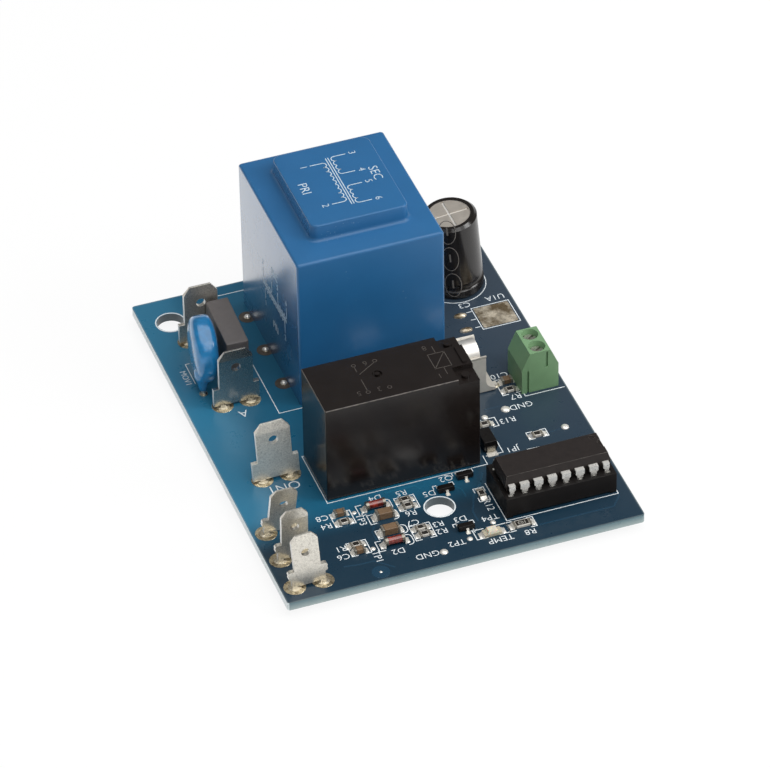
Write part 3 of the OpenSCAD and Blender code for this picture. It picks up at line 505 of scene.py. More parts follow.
@dataclass(frozen=True)
class SolderResist(Finish):
    """Blue resist on glass laminate: teal where light passes the laminate, navy over copper, grey raw edges, some
    painted light.

    Attributes:
        painted_light: Painted light: a lighter teal on the strip along the left side, where the tall parts cast no
            shade.
        copper: Colour over the copper plane at the right and front.
        painted_sheen: Painted reflection: a greyer colour over the same plane at the back right.
        edge: Colour of the cut laminate at the outline, near the top face.
        low: The same near the bottom face.
        left: Colour of the cut on the left, where the floor's reflection washes it out.
        bore: Colour of the drilled laminate.
        strip_x: Board x where the painted light on the left strip fades out, from and to.
        plane_x: Board x where the plane fades in, from and to.
        plane_y: Board y where the plane fades in, from and to.
        sheen_xy: Sum of x and y from the board's middle where the plane takes on its painted reflection, from and to.
        cut_mm: Depth below the top face at which the cut is palest.
        outline: Shares of the half-board between which drilled laminate gives way to the cut outline.
        margin: Shares of the half-board between which the resist thins towards the outline.
        thinned: How much it thins.
        tilt: Parts of a unit normal between which a face counts as turned that way.
    """

    painted_light: str = "#2e7596"
    copper: str = "#123042"
    painted_sheen: str = "#35424f"
    edge: str = "#4a6c76"
    low: str = "#9aa9a9"
    left: str = "#dde7e9"
    bore: str = "#4a5a60"
    strip_x: Point = (11.0, 5.0)
    plane_x: Point = (33.0, 46.0)
    plane_y: Point = (22.5, 13.0)
    sheen_xy: Point = (-20.0, 45.0)
    cut_mm: float = 1.5
    outline: Point = (0.97, 0.98)
    margin: Point = (0.992, 0.995)
    thinned: float = 0.25
    tilt: Point = (0.4, 0.6)

    def tone(self, tree: Tree, place: Socket) -> Socket:
        """Fades teal into navy by place, and shows laminate where the face isn't level; see `Finish.tone`.

        Each mask rises from 0 over a span of some value, and each tone is a mix of two others by one mask. `outer` is
        the larger of |x| and |y|, as a share of the half-board.
        """
        axes = add_node(tree, "ShaderNodeSeparateXYZ", {0: place}).outputs
        normal = add_node(tree, "ShaderNodeNewGeometry").outputs["Normal"]
        faces = add_node(tree, "ShaderNodeSeparateXYZ", {0: normal}).outputs
        values = {"x": axes[0], "y": axes[1], "z": axes[2], "facing": faces[0], "up": faces[2],
                  "half_x": ORIGIN[0], "half_y": ORIGIN[1]}
        steps = (("sum", "ADD", "x", "y"), ("share_x", "DIVIDE", "x", "half_x"), ("share_y", "DIVIDE", "y", "half_y"),
                 ("reach_x", "ABSOLUTE", "share_x"), ("reach_y", "ABSOLUTE", "share_y"),
                 ("outer", "MAXIMUM", "reach_x", "reach_y"), ("level", "ABSOLUTE", "up"))
        left, front, top = ORIGIN
        # strip and back are masks of painted light: the unshaded strip on the left and the painted reflection at the
        # back right.
        masks = (("strip", "x", left + self.strip_x[0] * MM, left + self.strip_x[1] * MM, 1.0, "SMOOTHSTEP"),
                 ("right", "x", left + self.plane_x[0] * MM, left + self.plane_x[1] * MM, 1.0, "SMOOTHSTEP"),
                 ("front", "y", front + self.plane_y[0] * MM, front + self.plane_y[1] * MM, 1.0, "SMOOTHSTEP"),
                 ("back", "sum", self.sheen_xy[0] * MM, self.sheen_xy[1] * MM, 1.0, "LINEAR"),
                 ("depth", "z", top, top - self.cut_mm * MM, 1.0, "LINEAR"),
                 ("rim", "outer", *self.outline, 1.0, "LINEAR"),
                 ("thin", "outer", *self.margin, self.thinned, "LINEAR"),
                 ("west", "facing", -self.tilt[0], -self.tilt[1], 1.0, "LINEAR"),
                 ("flat", "level", *self.tilt, 1.0, "LINEAR"))
        joined = (("plane", "MAXIMUM", "right", "front"), ("left_rim", "MULTIPLY", "west", "rim"))
        # field and navy mix in that painted light and painted reflection; side washes the left cut with a painted
        # reflection of the floor.
        tones = (("field", "strip", "teal", "painted_light"), ("navy", "back", "copper", "painted_sheen"),
                 ("face", "plane", "field", "navy"), ("cut", "depth", "edge", "low"), ("glass", "rim", "bore", "cut"),
                 ("bare", "thin", "face", "low"), ("side", "left_rim", "glass", "left"),
                 ("all", "flat", "side", "bare"))
        colours = {name: linear(getattr(self, name))
                   for name in ("painted_light", "copper", "painted_sheen", "edge", "low", "left", "bore")}
        colours["teal"] = super().tone(tree, place)
        for name, operation, *terms in steps:
            values[name] = add_node(tree, "ShaderNodeMath", {i: values[term] for i, term in enumerate(terms)},
                                    operation=operation).outputs[0]
        for name, value, start, end, most, kind in masks:
            values[name] = add_node(tree, "ShaderNodeMapRange", {
                "Value": values[value], "From Min": start, "From Max": end, "To Max": most},
                interpolation_type=kind).outputs[0]
        for name, operation, first, second in joined:
            values[name] = add_node(tree, "ShaderNodeMath", {0: values[first], 1: values[second]},
                                    operation=operation).outputs[0]
        for name, mask, under, over in tones:
            colours[name] = add_node(tree, "ShaderNodeMix", {0: values[mask], 6: colours[under], 7: colours[over]},
                                     data_type="RGBA").outputs[2]
        return colours["all"]


@dataclass(frozen=True)
class ClearGlass(Finish):
    """Drawn glass: clear, smooth, with a faint drift in its gloss."""

    def paint(self, tree: Tree, shader: bpy.types.Node) -> None:
        """Makes the shader pass light; see `Finish.paint`."""
        super().paint(tree, shader)
        shader.inputs["Transmission Weight"].default_value = 1.0
        shader.inputs["IOR"].default_value = 1.5


@dataclass(frozen=True)
class CastResin(Finish):
    """Cast lamp resin: milky, with light spreading under its surface."""

    def paint(self, tree: Tree, shader: bpy.types.Node) -> None:
        """Adds light under the surface; see `Finish.paint`."""
        super().paint(tree, shader)
        shader.inputs["Subsurface Weight"].default_value = 0.4
        shader.inputs["Subsurface Scale"].default_value = 0.5 * MM


# Epoxy resist on glass cloth: even, half-gloss, with painted light on a strip at the left and a painted sheen at the
# back right.
RESIST = SolderResist("blue_solder_resist", "#185f7e", roughness=0.3, mottle=0.06, mottle_mm=7, uneven=0.04,
                      specular=0.6)
# Resist over a copper track: the same film, raised and a little lighter, with its own painted light on the left strip.
TRACK = replace(RESIST, name="resist_over_copper", colour="#1d6988", painted_light="#30799b", copper="#193c52", roughness=0.28,
                mottle_mm=5)
# Screen ink: matt white, a little thin in places.
SILK = Finish("white_screen_ink", "#e6ecee", roughness=0.6, mottle=0.1, mottle_mm=0.5, specular=0.3)
# Pad print on the transformer: pale blue-white on glossy plastic.
PAD_PRINT = replace(SILK, name="pale_pad_print", colour="#c3d3de", roughness=0.5, mottle=0.12)
# Laser mark on black plastic: a shade lighter and duller than its ground.
LASER = Finish("laser_mark", "#48433f", roughness=0.7, mottle=0.25, mottle_mm=0.4, specular=0.2)
# Pale print on the capacitor's sleeve: grey, thin.
SLEEVE_PRINT = replace(SILK, name="grey_sleeve_print", colour="#76706a", mottle=0.25)
# Painted highlight on the edges of a black moulding: a grey strip where the edges catch the light.
PAINTED_EDGE_HIGHLIGHT = Finish("painted_edge_highlight", "#56504b", roughness=0.35, mottle=0.7, mottle_mm=1.0)
# Sheared edge of a tab, on its left faces only: bare bright metal, and a painted reflection of the pale floor.
SHEARED_PAINTED_GLINT = Finish("sheared_edge_painted_glint", "#f3f2ee", roughness=0.4, metallic=0.3, mottle=0.1, mottle_mm=1)
# Polyester moulding: deep blue, half-gloss, with soft reflections.
CASE = ScuffedMoulding("blue_polyester_moulding", "#246395", roughness=0.36, coat=0.3, mottle=0.04, mottle_mm=6,
                       uneven=0.03, specular=0.35)
# Side walls of the case: the same blue, much glossier, so that they mirror pale surroundings at low angles.
CASE_SIDE = replace(CASE, name="polished_blue_moulding", roughness=0.26, coat=1.0, coat_ior=1.8, specular=1.0)
# Potting resin: dark and smooth, a little wavy from pouring.
POTTING = Finish("potting_resin", "#25282c", roughness=0.35, mottle=0.2, grain=0.3, grain_mm=2, depth_mm=0.05)
# Glass-filled PBT: near-black, satin, with blurred reflections of what stands before it.
RELAY_PLASTIC = Finish("black_pbt", "#1d1816", roughness=0.2, mottle=0.12, mottle_mm=4, uneven=0.04, specular=0.45)
# Epoxy moulding compound: charcoal, matt, sandy.
CHIP_EPOXY = Finish("charcoal_epoxy", "#231d1b", roughness=0.5, mottle=0.15, mottle_mm=1.2, grain=0.15, grain_mm=0.2,
                    specular=0.3)
# The same compound on the small packages, which are blacker.
BLACK_EPOXY = Finish("black_epoxy", "#110e0d", roughness=0.35, mottle=0.15, mottle_mm=0.8, specular=0.3, grain=0.1)
# Polyamide of the socket: black, dull.
SOCKET_PLASTIC = Finish("black_polyamide", "#161312", roughness=0.5, mottle=0.12, specular=0.2)
# Polyamide in pale green: satin, with soft sheen.
GREEN_PLASTIC = Finish("green_polyamide", "#769b72", roughness=0.45, mottle=0.05, mottle_mm=3, specular=0.4)
# Dipped epoxy lacquer: bright blue, wet-looking, wavy.
LACQUER = Finish("blue_dip_lacquer", "#1d79b0", roughness=0.2, coat=0.7, mottle=0.2, mottle_mm=1.6, uneven=0.05,
                 grain=0.6, grain_mm=2.2, depth_mm=0.25)
# Moulded polyester box: warm grey, matt.
FILM_BOX = Finish("grey_brown_polyester", "#6c6765", roughness=0.5, mottle=0.06, mottle_mm=1.5, grain=0.15,
                  grain_mm=0.3, specular=0.4)
# Tinned brass strip: grey, half dull, with a fine speckle and stains.
TINPLATE = SpottedMetal("tinned_brass", "#dedad0", roughness=0.34, metallic=0.84, mottle=0.18, mottle_mm=0.25,
                        uneven=0.1, grain=0.2, grain_mm=0.25, depth_mm=0.015, stain_mm=0.4, stained=0.4)
# The same strip where the plate has stayed bright: it mirrors the board, and its darker colour is painted shade.
SHADED_BRIGHT_TIN = replace(TINPLATE, name="bright_tinned_brass_painted_shade", colour="#b3b2ad", roughness=0.24, metallic=0.97,
                     mottle=0.15, uneven=0.08, stained=0.3)
# The same strip where the plate has gone dull: more even, and paler as painted light.
LIT_DULL_TIN = replace(TINPLATE, name="dull_tinned_brass_painted_light", colour="#ebe7dd", roughness=0.4, metallic=0.68, stained=0.35)
# Spring bronze with nickel plate: pale, satin.
SPRING = SpottedMetal("nickelled_bronze", "#e4dfd4", roughness=0.45, metallic=0.6, mottle=0.06, mottle_mm=1.2,
                      stained=0.12)
# Solder: bright and smooth, with faint yellow flux stains.
SOLDER = SpottedMetal("bright_solder", "#f4f1e9", roughness=0.3, metallic=0.5, mottle=0.08, mottle_mm=0.7,
                      uneven=0.08, grain=0.15, grain_mm=0.8, depth_mm=0.04, stain="#a99b7d", stained=0.2)
# Hand-made joints of tabs and tails: silver to golden, with brown flux.
JOINT = SpottedMetal("fluxed_solder", "#ddd3bc", roughness=0.3, metallic=0.8, mottle=0.2, mottle_mm=0.8, uneven=0.1,
                     grain=0.3, grain_mm=0.9, depth_mm=0.06, stain="#6a5636", stain_mm=0.8, stained=0.7)
# Heat land: wavy reflowed solder, silver to golden, with brown flux stains.
LAND = SpottedMetal("reflowed_land", "#dfd3bd", roughness=0.32, metallic=0.6, mottle=0.3, mottle_mm=1.2, uneven=0.12,
                    grain=0.9, grain_mm=1.8, depth_mm=0.3, stain="#5d4823", stain_mm=2.6, stained=0.85,
                    spread=(0.42, 0.62))
# Lands under the tabs: thin tin over copper, silver-gold with flux.
TAB_LAND = SpottedMetal("fluxed_land", "#d3c6a8", roughness=0.28, metallic=0.85, mottle=0.3, mottle_mm=1.0,
                        uneven=0.1, grain=0.6, grain_mm=1.2, depth_mm=0.1, stain="#57452a", stain_mm=1.1,
                        stained=0.75, spread=(0.46, 0.66))
# Ring round a spare pad: dark brown-grey, fairly matt.
DARK_RING = Finish("dark_pad_ring", "#544c43", roughness=0.4, mottle=0.25, mottle_mm=0.6)
# Tinned lead frame: white-silver, even.
PIN_METAL = SpottedMetal("tinned_lead_frame", "#f6f4ee", roughness=0.28, metallic=0.55, mottle=0.02, mottle_mm=2,
                         uneven=0.02, stain_mm=2, stained=0.03)
# Plated end of a chip part: grey, dull.
END_PLATE = SpottedMetal("plated_end", "#a39d91", roughness=0.36, metallic=0.75, mottle=0.12, mottle_mm=0.5,
                         stained=0.25)
# Drawn aluminium: pale, slightly satin.
ALUMINIUM = SpottedMetal("drawn_aluminium", "#c4bcb1", roughness=0.45, metallic=0.65, mottle=0.06, mottle_mm=1.5,
                         uneven=0.06, stained=0.12)
# Scored line in the can's top: bare bright metal, paler than the can as a painted highlight.
SCORED_PAINTED_HIGHLIGHT = SpottedMetal("scored_aluminium_painted_highlight", "#f2eee7", roughness=0.35, metallic=0.5, mottle=0.05, stained=0.05)
# Nickel plate: bright, with blurred reflections.
NICKEL = SpottedMetal("nickel_plate", "#f1eee8", roughness=0.4, metallic=0.75, mottle=0.04, mottle_mm=1, stained=0.08)
# Zinc-plated screw: grey, worn bright.
ZINC = SpottedMetal("zinc_plate", "#c9c6be", roughness=0.3, metallic=0.95, mottle=0.1, mottle_mm=0.8, stained=0.3)
# Shrunk PVC film: black-brown with a sharp sheen.
SLEEVE = Finish("black_shrink_film", "#1b1715", roughness=0.18, mottle=0.1, mottle_mm=3, grain=0.1, grain_mm=1.5,
                depth_mm=0.02)
# Butyl bung: black, chalky.
RUBBER = Finish("black_rubber", "#171716", roughness=0.7, grain=0.1)
# Drawn tube of the fuse: clear.
GLASS = ClearGlass("clear_glass", "#f2f6f4", roughness=0.04, uneven=0.01, mottle=0.01)
# Diode glass over a red-brown die: glossy, streaked.
RED_GLASS = Finish("red_diode_glass", "#7d2a1f", roughness=0.09, coat=1.0, mottle=0.7, mottle_mm=0.6)
# End cap of a glass diode and lead of the rectifier: dark plated metal.
DIODE_END = SpottedMetal("diode_end", "#8f897e", roughness=0.28, metallic=0.9, mottle=0.1, stained=0.3)
# Alumina body of a chip resistor: white, fine.
ALUMINA = Finish("white_alumina", "#cfcbc2", roughness=0.45, mottle=0.1, mottle_mm=0.5)
# Resistor glaze: brown-black, smooth.
RESISTOR = Finish("black_resistor_glaze", "#2b2825", roughness=0.3, mottle=0.15, mottle_mm=0.6, specular=0.35)
# Fired dielectric of a chip capacitor: brown, eggshell.
CERAMIC = Finish("brown_ceramic", "#776049", roughness=0.35, mottle=0.16, mottle_mm=0.5)
# Lens of the lamp: milky, grey-cream.
LAMP_RESIN = CastResin("lamp_resin", "#dcd4c0", roughness=0.25, mottle=0.08, mottle_mm=0.6)
# Glass laminate under the lamp: pale, matt.
LAMP_BASE = Finish("lamp_laminate", "#b9b19b", roughness=0.5, mottle=0.15, mottle_mm=0.5)
# Printed value on a resistor: off-white.
MARK = Finish("resistor_mark", "#b9b6ae", roughness=0.6, mottle=0.1, mottle_mm=0.3)


def dress(finish: Finish, *nodes: str) -> None:
    """Gives CAD nodes a finish through their material slots.

    Args:
        finish: The finish.
        *nodes: Names of the nodes.
    """
    for node in nodes:
        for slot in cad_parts[node].material_slots:
            slot.material = finish.material()
        LOG.info("dressed %s in %s", node, finish.name)


def add_piece(mesh: bpy.types.Mesh, finish: Finish, slot: str, *replaced: str) -> bpy.types.Object:
    """Dresses a mesh, puts it into the scene and ties it to the board's body.

    Args:
        mesh: The finished mesh, whose name the piece takes.
        finish: Its finish.
        slot: The record's material slot; not used.
        *replaced: CAD nodes that it stands for.

    Returns:
        The new object.
    """
    mesh.materials.append(finish.material())
    piece = bpy.data.objects.new(mesh.name, mesh)
    bpy.context.scene.collection.objects.link(piece)
    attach(piece, BODY)
    if replaced:
        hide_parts(*replaced)
    LOG.info("built %s: %d faces", mesh.name, len(mesh.polygons))
    return piece


def make_piece(name: str, shape: Shape, finish: Finish, slot: str, *replaced: str) -> bpy.types.Object:
    """Puts a shape into a mesh with smooth faces and sharp edges, and adds it to the scene.

    Args:
        name: Name of the piece.
        shape: Its points and faces, in board millimetres.
        finish: Its finish.
        slot: The record's material slot.
        *replaced: CAD nodes that it stands for.

    Returns:
        The new object.
    """
    mesh = bpy.data.meshes.new(name)
    faces = shape.quads.tolist() + [cap.tolist() for cap in shape.caps]
    mesh.from_pydata((ORIGIN + shape.points * MM).tolist(), [], faces)
    mesh.polygons.foreach_set("use_smooth", np.ones(len(mesh.polygons), bool))
    mesh.set_sharp_from_angle(angle=math.radians(SHARP_DEG))
    return add_piece(mesh, finish, slot, *replaced)


def add_second_finish(mesh: bpy.types.Mesh, finish: Finish, facing: Sequence[Sequence[float]]) -> None:
    """Gives a dressed mesh a second finish, on the faces within 23 degrees of some directions.

    Args:
        mesh: The mesh.
        finish: Its second finish.
        facing: The directions, of any length; with none, the finish is only made ready for a bevel.
    """
    least_cosine = 0.92
    normals = np.empty(len(mesh.polygons) * 3)
    mesh.polygons.foreach_get("normal", normals)
    ways = np.asarray(facing, float).reshape(-1, 3)
    ways /= np.linalg.norm(ways, axis=1, keepdims=True)
    chosen = (normals.reshape(-1, 3) @ ways.T > least_cosine).any(axis=1)
    mesh.materials.append(finish.material())
    mesh.polygons.foreach_set("material_index", chosen.astype(np.int32))


def soften(finish: Finish, slot: str, width: float, *nodes: str, painted_edge: Finish | None = None,
           facing: Sequence[Sequence[float]] = ()) -> None:
    """Stands a copy in for each CAD node on the board: its triangles are merged and its edges get a fine bevel.

    Points that agree to a ten-thousandth of a millimetre become one, and triangles in one plane become one face.

    Args:
        finish: Finish of the copies.
        slot: The record's material slot.
        width: Width of the bevel, or 0 where the CAD piece has round edges already.
        *nodes: CAD nodes.
        painted_edge: Second finish, a painted highlight or reflection for the bevels or for the faces that look some
            ways.
        facing: Directions of the faces that take it. Where there is none, the bevels take it.
    """
    digits, plane_deg, bevel_deg = 4, 1, 30
    for node in nodes:
        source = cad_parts[node].data
        points, corners = np.empty(len(source.vertices) * 3), np.empty(len(source.loops), int)
        source.vertices.foreach_get("co", points)
        source.loops.foreach_get("vertex_index", corners)
        merged, number = np.unique(np.round(points.reshape(-1, 3) / MM, digits), axis=0, return_inverse=True)
        mesh = bpy.data.meshes.new(node + "_softened")
        mesh.from_pydata((merged * MM).tolist(), [], number.ravel()[corners].reshape(-1, 3).tolist())
        work = bmesh.new()
        work.from_mesh(mesh)
        bmesh.ops.dissolve_limit(work, angle_limit=math.radians(plane_deg), verts=work.verts, edges=work.edges)
        work.to_mesh(mesh)
        work.free()
        piece = add_piece(mesh, finish, slot, node)
        if painted_edge:
            add_second_finish(mesh, painted_edge, facing)
        if width:
            bevel = piece.modifiers.new("edge", "BEVEL")
            bevel.width, bevel.segments, bevel.limit_method = width * MM, 2, "ANGLE"
            bevel.angle_limit, bevel.material = math.radians(bevel_deg), 1 if painted_edge and not facing else -1


class Turn(Enum):
    """Which way a printed word reads, in degrees from +x."""

    BACKWARD = 180
    FORWARD = -90


class EndMark(Enum):
    """Shape of a printed bracket's right end."""

    SQUARE = "square"
    ROUND = "round"


@dataclass(frozen=True)
class Label:
    """A printed designator: its text, middle, reading direction and height."""

    text: str
    at: Point
    turn: Turn = Turn.BACKWARD
    height: float = 1.35

    def shape(self) -> Shape:
        """The word in its place on the board."""
        return lettering(self.text, self.height).moved((*self.at, 0), self.turn.value)


@dataclass(frozen=True)
class Chip:
    """Solder of a two-ended part.

    Attributes:
        at: Middle of the part.
        size: Length and width of its body.
        height: Height of the solder at the body.
        turn: Turn in degrees.
        toe: Length of a solder toe.
        spread: Width of the solder as a share of the body's.
    """

    at: Point
    size: Point = (2.0, 1.25)
    height: float = 0.42
    turn: float = 0.0
    toe: float = 0.75
    spread: float = 1.12

    def pads(self) -> Shape:
        """Solder toes at both ends.

        Returns:
            Both toes, in place on the board.
        """
        toe = solder_toe(self.size[1] * self.spread, self.toe, self.height)
        ends = [toe.moved((self.size[0] / 2, 0, 0)), toe.moved((-self.size[0] / 2, 0, 0), 180)]
        return join(ends).moved((*self.at, 0), self.turn)


@dataclass(frozen=True)
class Bracket:
    """Printed bracket round one part or a row of parts.

    Attributes:
        at: Its middle.
        half: Half its width and half its depth.
        mark: Shape of its right end.
        turn: Turn in degrees.
        arm: Length of its arms.
        width: Width of its line.
        bend: Radius of the corners of a round end.
    """

    at: Point
    half: Point = (1.8, 1.0)
    mark: EndMark = EndMark.SQUARE
    turn: float = 0.0
    arm: float = 1.1
    width: float = 0.16
    bend: float = 0.75

    def shape(self) -> Shape:
        """A square hook at the left end, and a square or round one at the right.

        Returns:
            Both hooks, in place on the board.
        """
        x, y = self.half
        left = [(self.arm - x, y), (-x, y), (-x, -y), (self.arm - x, -y)]
        if self.mark is EndMark.SQUARE:
            right = [(-u, v) for u, v in left]
        else:
            upper = arc((x - self.bend, y - self.bend), self.bend, 90, 0, 7)
            lower = arc((x - self.bend, self.bend - y), self.bend, 0, -90, 7)
            right = np.vstack([[(x - self.arm, y)], upper, lower, [(x - self.arm, -y)]])
        return join([stroke(left, self.width), stroke(right, self.width)]).moved((*self.at, 0), self.turn)


@dataclass
class Board:
    """The laminate with its tracks, lands and print.

    Attributes:
        holes: Middles of the mounting holes.
        hole_ring: Middle radius and width of the ring printed round them.
        tab_rows: x of each row of tabs, and y of the tabs in it.
        leg_pitch: Distance between the legs of a tab.
        land_r: Radius of a leg's land.
        drops: Test points and filled vias, as place and radius.
        drop_rise: Height of a drop as a share of its radius.
        spare_pads: Middles of the spare pads.
        spare_ring: Middle radius and width of the dark ring round a spare pad.
        spare_bead: Radius and height of the solder in it.
        heat_land: Middle, width and depth of the heat land.
        heat_edge: Corner radius and thickness of the heat land.
        heat_frame: How much wider the frame is that is printed round it.
        lead_joints: Middles of the joints beside it.
        lead_bead: Half-length, half-width and height of such a joint.
        line_w: Width of a printed line.
        can_ring: Middle and radius of the circle printed round the capacitor.
        labels: Printed designators.
        outlines: Printed outlines that are open paths.
        ticks: Middles of the short lines beside the heat land.
        tick_half: Half the length of such a line.
        top_track: Width and height of a track on the top face.
        top_paths: Paths of these tracks.
        via_ring: Middle and radius of the broad ring round the front via.
        under_track: Width and height of a track on the bottom face.
        under_paths: Paths of these tracks, between the pieces' soldered tails.
    """

    holes: Path = ((5.2, 79.2), (32.7, 14.5))
    hole_ring: Point = (2.68, 0.24)
    tab_rows: tuple[tuple[float, tuple[float, ...]], ...] = ((9.0, (72.9, 53.65, 32.05)), (5.05, (18.5, 11.05, 3.6)))
    leg_pitch: float = 5.08
    land_r: float = 1.95
    drops: tuple[tuple[Point, float], ...] = (
        ((52.61, 35.03), 0.85), ((60.63, 26.84), 0.72), ((29.3, 3.17), 0.72), ((34.63, 4.76), 0.52),
        ((39.83, 7.4), 0.52), ((18.37, 18.23), 0.45), ((18.24, 8.2), 0.48), ((48.4, 34.2), 0.62), ((17.5, 2.12), 0.28))
    drop_rise: float = 0.45
    spare_pads: Path = ((18.55, 55.75), (18.55, 65.75), (18.55, 75.75))
    spare_ring: Point = (1.1, 0.95)
    spare_bead: Point = (0.62, 0.55)
    heat_land: tuple[float, float, float, float] = (60.43, 60.55, 6.6, 5.8)
    heat_edge: Point = (0.3, 0.06)
    heat_frame: float = 0.55
    lead_joints: Path = ((54.3, 62.4), (53.9, 58.2))
    lead_bead: Triple = (1.25, 0.65, 0.5)
    line_w: float = 0.148
    can_ring: tuple[Point, float] = ((56.5, 71.84), 5.9)
    labels: tuple[Label, ...] = (
        Label("A", (9.2, 50.4), height=1.8), Label("ON1", (9.36, 29.03), height=2.0),
        Label("C8", (12.74, 18.82)), Label("R4", (12.77, 16.57)), Label("TP3", (18.87, 16.07), Turn.FORWARD),
        Label("D4", (23.09, 20.68)), Label("R5", (27.73, 20.33)), Label("R6", (27.53, 14.75)),
        Label("D5", (32.21, 18.49)), Label("Q2", (36.3, 21.2)), Label("C7", (26.95, 12.25)),
        Label("R3", (30.87, 10.38)), Label("R2", (30.88, 8.42)), Label("D3", (34.86, 10.27)),
        Label("TP2", (32.19, 4.57)), Label("GND", (26.4, 3.44)), Label("D2", (22.13, 6.17)),
        Label("TP1", (18.26, 5.98), Turn.FORWARD), Label("R1", (13.13, 10.14)), Label("C6", (12.84, 8.04)),
        Label("R8", (45.0, 2.91)), Label("TEMP", (39.58, 2.88)), Label("TP4", (39.81, 8.81)),
        Label("R12", (40.73, 11.99), Turn.FORWARD), Label("JP1", (49.92, 24.52)), Label("R13", (51.91, 32.21)),
        Label("GND", (55.54, 35.09)), Label("R7", (55.6, 37.79)), Label("C10", (54.86, 44.2)),
        Label("U1", (56.16, 22.6)), Label("U1A", (62.0, 65.3)), Label("C3", (56.08, 65.1)),
        Label("MOV1", (2.75, 63.2), Turn.FORWARD, 1.1))
    outlines: tuple[Path, ...] = (
        ((20.5, 83.4), (15.1, 83.4), (15.1, 48.15), (46.5, 48.15)),
        ((20.0, 35.6), (14.94, 35.6), (14.94, 22.2), (44.4, 22.2), (44.4, 24.6)),
        ((57.2, 38.3), (57.2, 37.2), (64.6, 37.2)),
        ((3.9, 61.2), (3.9, 66.9), (4.7, 66.9)),
        ((42.2, 17.6), (42.2, 6.9), (62.75, 6.9), (62.75, 10.0)),
        ((52.23, 23.49), (54.80, 23.38)),
        ((48.1, 24.2), (48.1, 30.2)), ((44.9, 24.3), (48.1, 24.3)))
    ticks: Path = ((56.2, 62.9), (56.2, 60.6), (56.2, 58.3))
    tick_half: float = 0.5
    top_track: Point = (0.35, 0.02)
    top_paths: tuple[Path, ...] = (
        ((41.9, 18.4), (39.2, 15.2), (37.6, 11.2), (37.6, 8.6)), ((42.8, 20.5), (41.6, 18.2)),
        ((31.2, 20.1), (30.6, 21.3), (25.0, 21.3)), ((36.6, 19.2), (37.9, 17.6), (37.9, 15.4)),
        ((20.4, 13.6), (19.6, 12.4), (19.6, 9.4)), ((12.0, 5.6), (14.6, 5.2), (17.3, 5.2), (20.2, 2.4)),
        ((62.6, 18.0), (62.6, 6.2), (60.8, 4.0), (47.0, 4.0)), ((49.0, 36.2), (52.0, 36.2)),
        ((57.5, 26.4), (60.3, 26.8)), ((44.6, 33.4), (46.6, 33.4)))
    via_ring: tuple[Point, float] = ((17.5, 2.12), 1.6)
    under_track: Point = (1.3, 0.03)
    under_paths: tuple[Path, ...] = (
        ((9.0, 72.9), (9.0, 68.6), (12.0, 65.4)), ((9.0, 53.65), (13.5, 56.5), (22.9, 56.5)),
        ((9.0, 32.05), (14.5, 32.05), (17.7, 32.7)), ((5.05, 18.5), (10.0, 20.5), (17.7, 25.2)),
        ((42.9, 54.5), (42.9, 46.5), (33.0, 43.6)), ((42.9, 74.5), (50.0, 74.5), (53.9, 71.6)),
        ((58.9, 71.6), (58.9, 66.0), (50.5, 58.0)), ((57.9, 43.1), (51.5, 43.1), (47.5, 38.0)),
        ((57.9, 39.6), (53.0, 36.0), (52.5, 20.0)), ((43.6, 16.2), (40.0, 19.5), (40.0, 24.0)),
        ((61.4, 8.6), (61.4, 4.0), (30.0, 4.0)), ((5.05, 11.05), (12.0, 11.05), (18.0, 14.5)))

    def legs(self) -> list[Point]:
        """Places of all tab legs."""
        return [(x + side * self.leg_pitch / 2, y) for x, row in self.tab_rows for y in row for side in (-1, 1)]

    def print_shape(self) -> Shape:
        """All white print apart from the chip parts' brackets.

        Returns:
            Rings, outlines, circle and words.
        """
        x, y, width, depth = self.heat_land
        half_w, half_d = (width + self.heat_frame) / 2, (depth + self.heat_frame) / 2
        land_frame = [(x + u * half_w, y + v * half_d) for u, v in ((-1, -1), (1, -1), (1, 1), (-1, 1))]
        return join([ring(hole, *self.hole_ring) for hole in self.holes]
                    + [stroke(path, self.line_w) for path in self.outlines]
                    + [stroke(land_frame, self.line_w, closed=True)]
                    + [stroke([(u - self.tick_half, v), (u + self.tick_half, v)], self.line_w) for u, v in self.ticks]
                    + [stroke(arc(*self.can_ring), self.line_w, closed=True)]
                    + [label.shape() for label in self.labels])

    def tracks(self) -> Shape:
        """Tracks under the resist on the top face, and a broad ring round the front via."""
        return join([stroke(path, *self.top_track) for path in self.top_paths]
                    + [disc(*self.via_ring, self.top_track[1])])

    def under_tracks(self) -> Shape:
        """Broad supply tracks under the resist on the bottom face."""
        width, height = self.under_track
        return join([stroke(path, width, height, -BOARD_MM - height) for path in self.under_paths])

    def build(self) -> None:
        """Builds the tracks, lands, drops and print, and dresses the laminate."""
        dress(RESIST, "circuit_board")
        dress(JOINT, "solder_joints")
        bead = dome((0, 0), 1.0, self.lead_bead[2])
        lead = bead.mapped(bead.points * [*self.lead_bead[:2], 1])
        drops = [dome(at, radius, self.drop_rise * radius) for at, radius in self.drops]
        drops += [dome(at, *self.spare_bead) for at in self.spare_pads]
        rings = [ring(at, *self.spare_ring, TIN) for at in self.spare_pads]
        make_piece("tracks_top", self.tracks(), TRACK, "laminate")
        make_piece("tracks_under", self.under_tracks(), TRACK, "laminate")
        make_piece("board_print", self.print_shape(), SILK, "laminate")
        make_piece("tab_lands", join([disc(leg, self.land_r) for leg in self.legs()]), TAB_LAND, "tinned")
        make_piece("spare_lands", join(rings), DARK_RING, "tinned")
        make_piece("heat_land", plate(self.heat_land[:2], self.heat_land[2:], *self.heat_edge), LAND, "tinned")
        make_piece("lead_joints", join([lead.moved((*at, 0)) for at in self.lead_joints]), LAND, "solder")
        make_piece("solder_drops", join(drops), SOLDER, "solder")


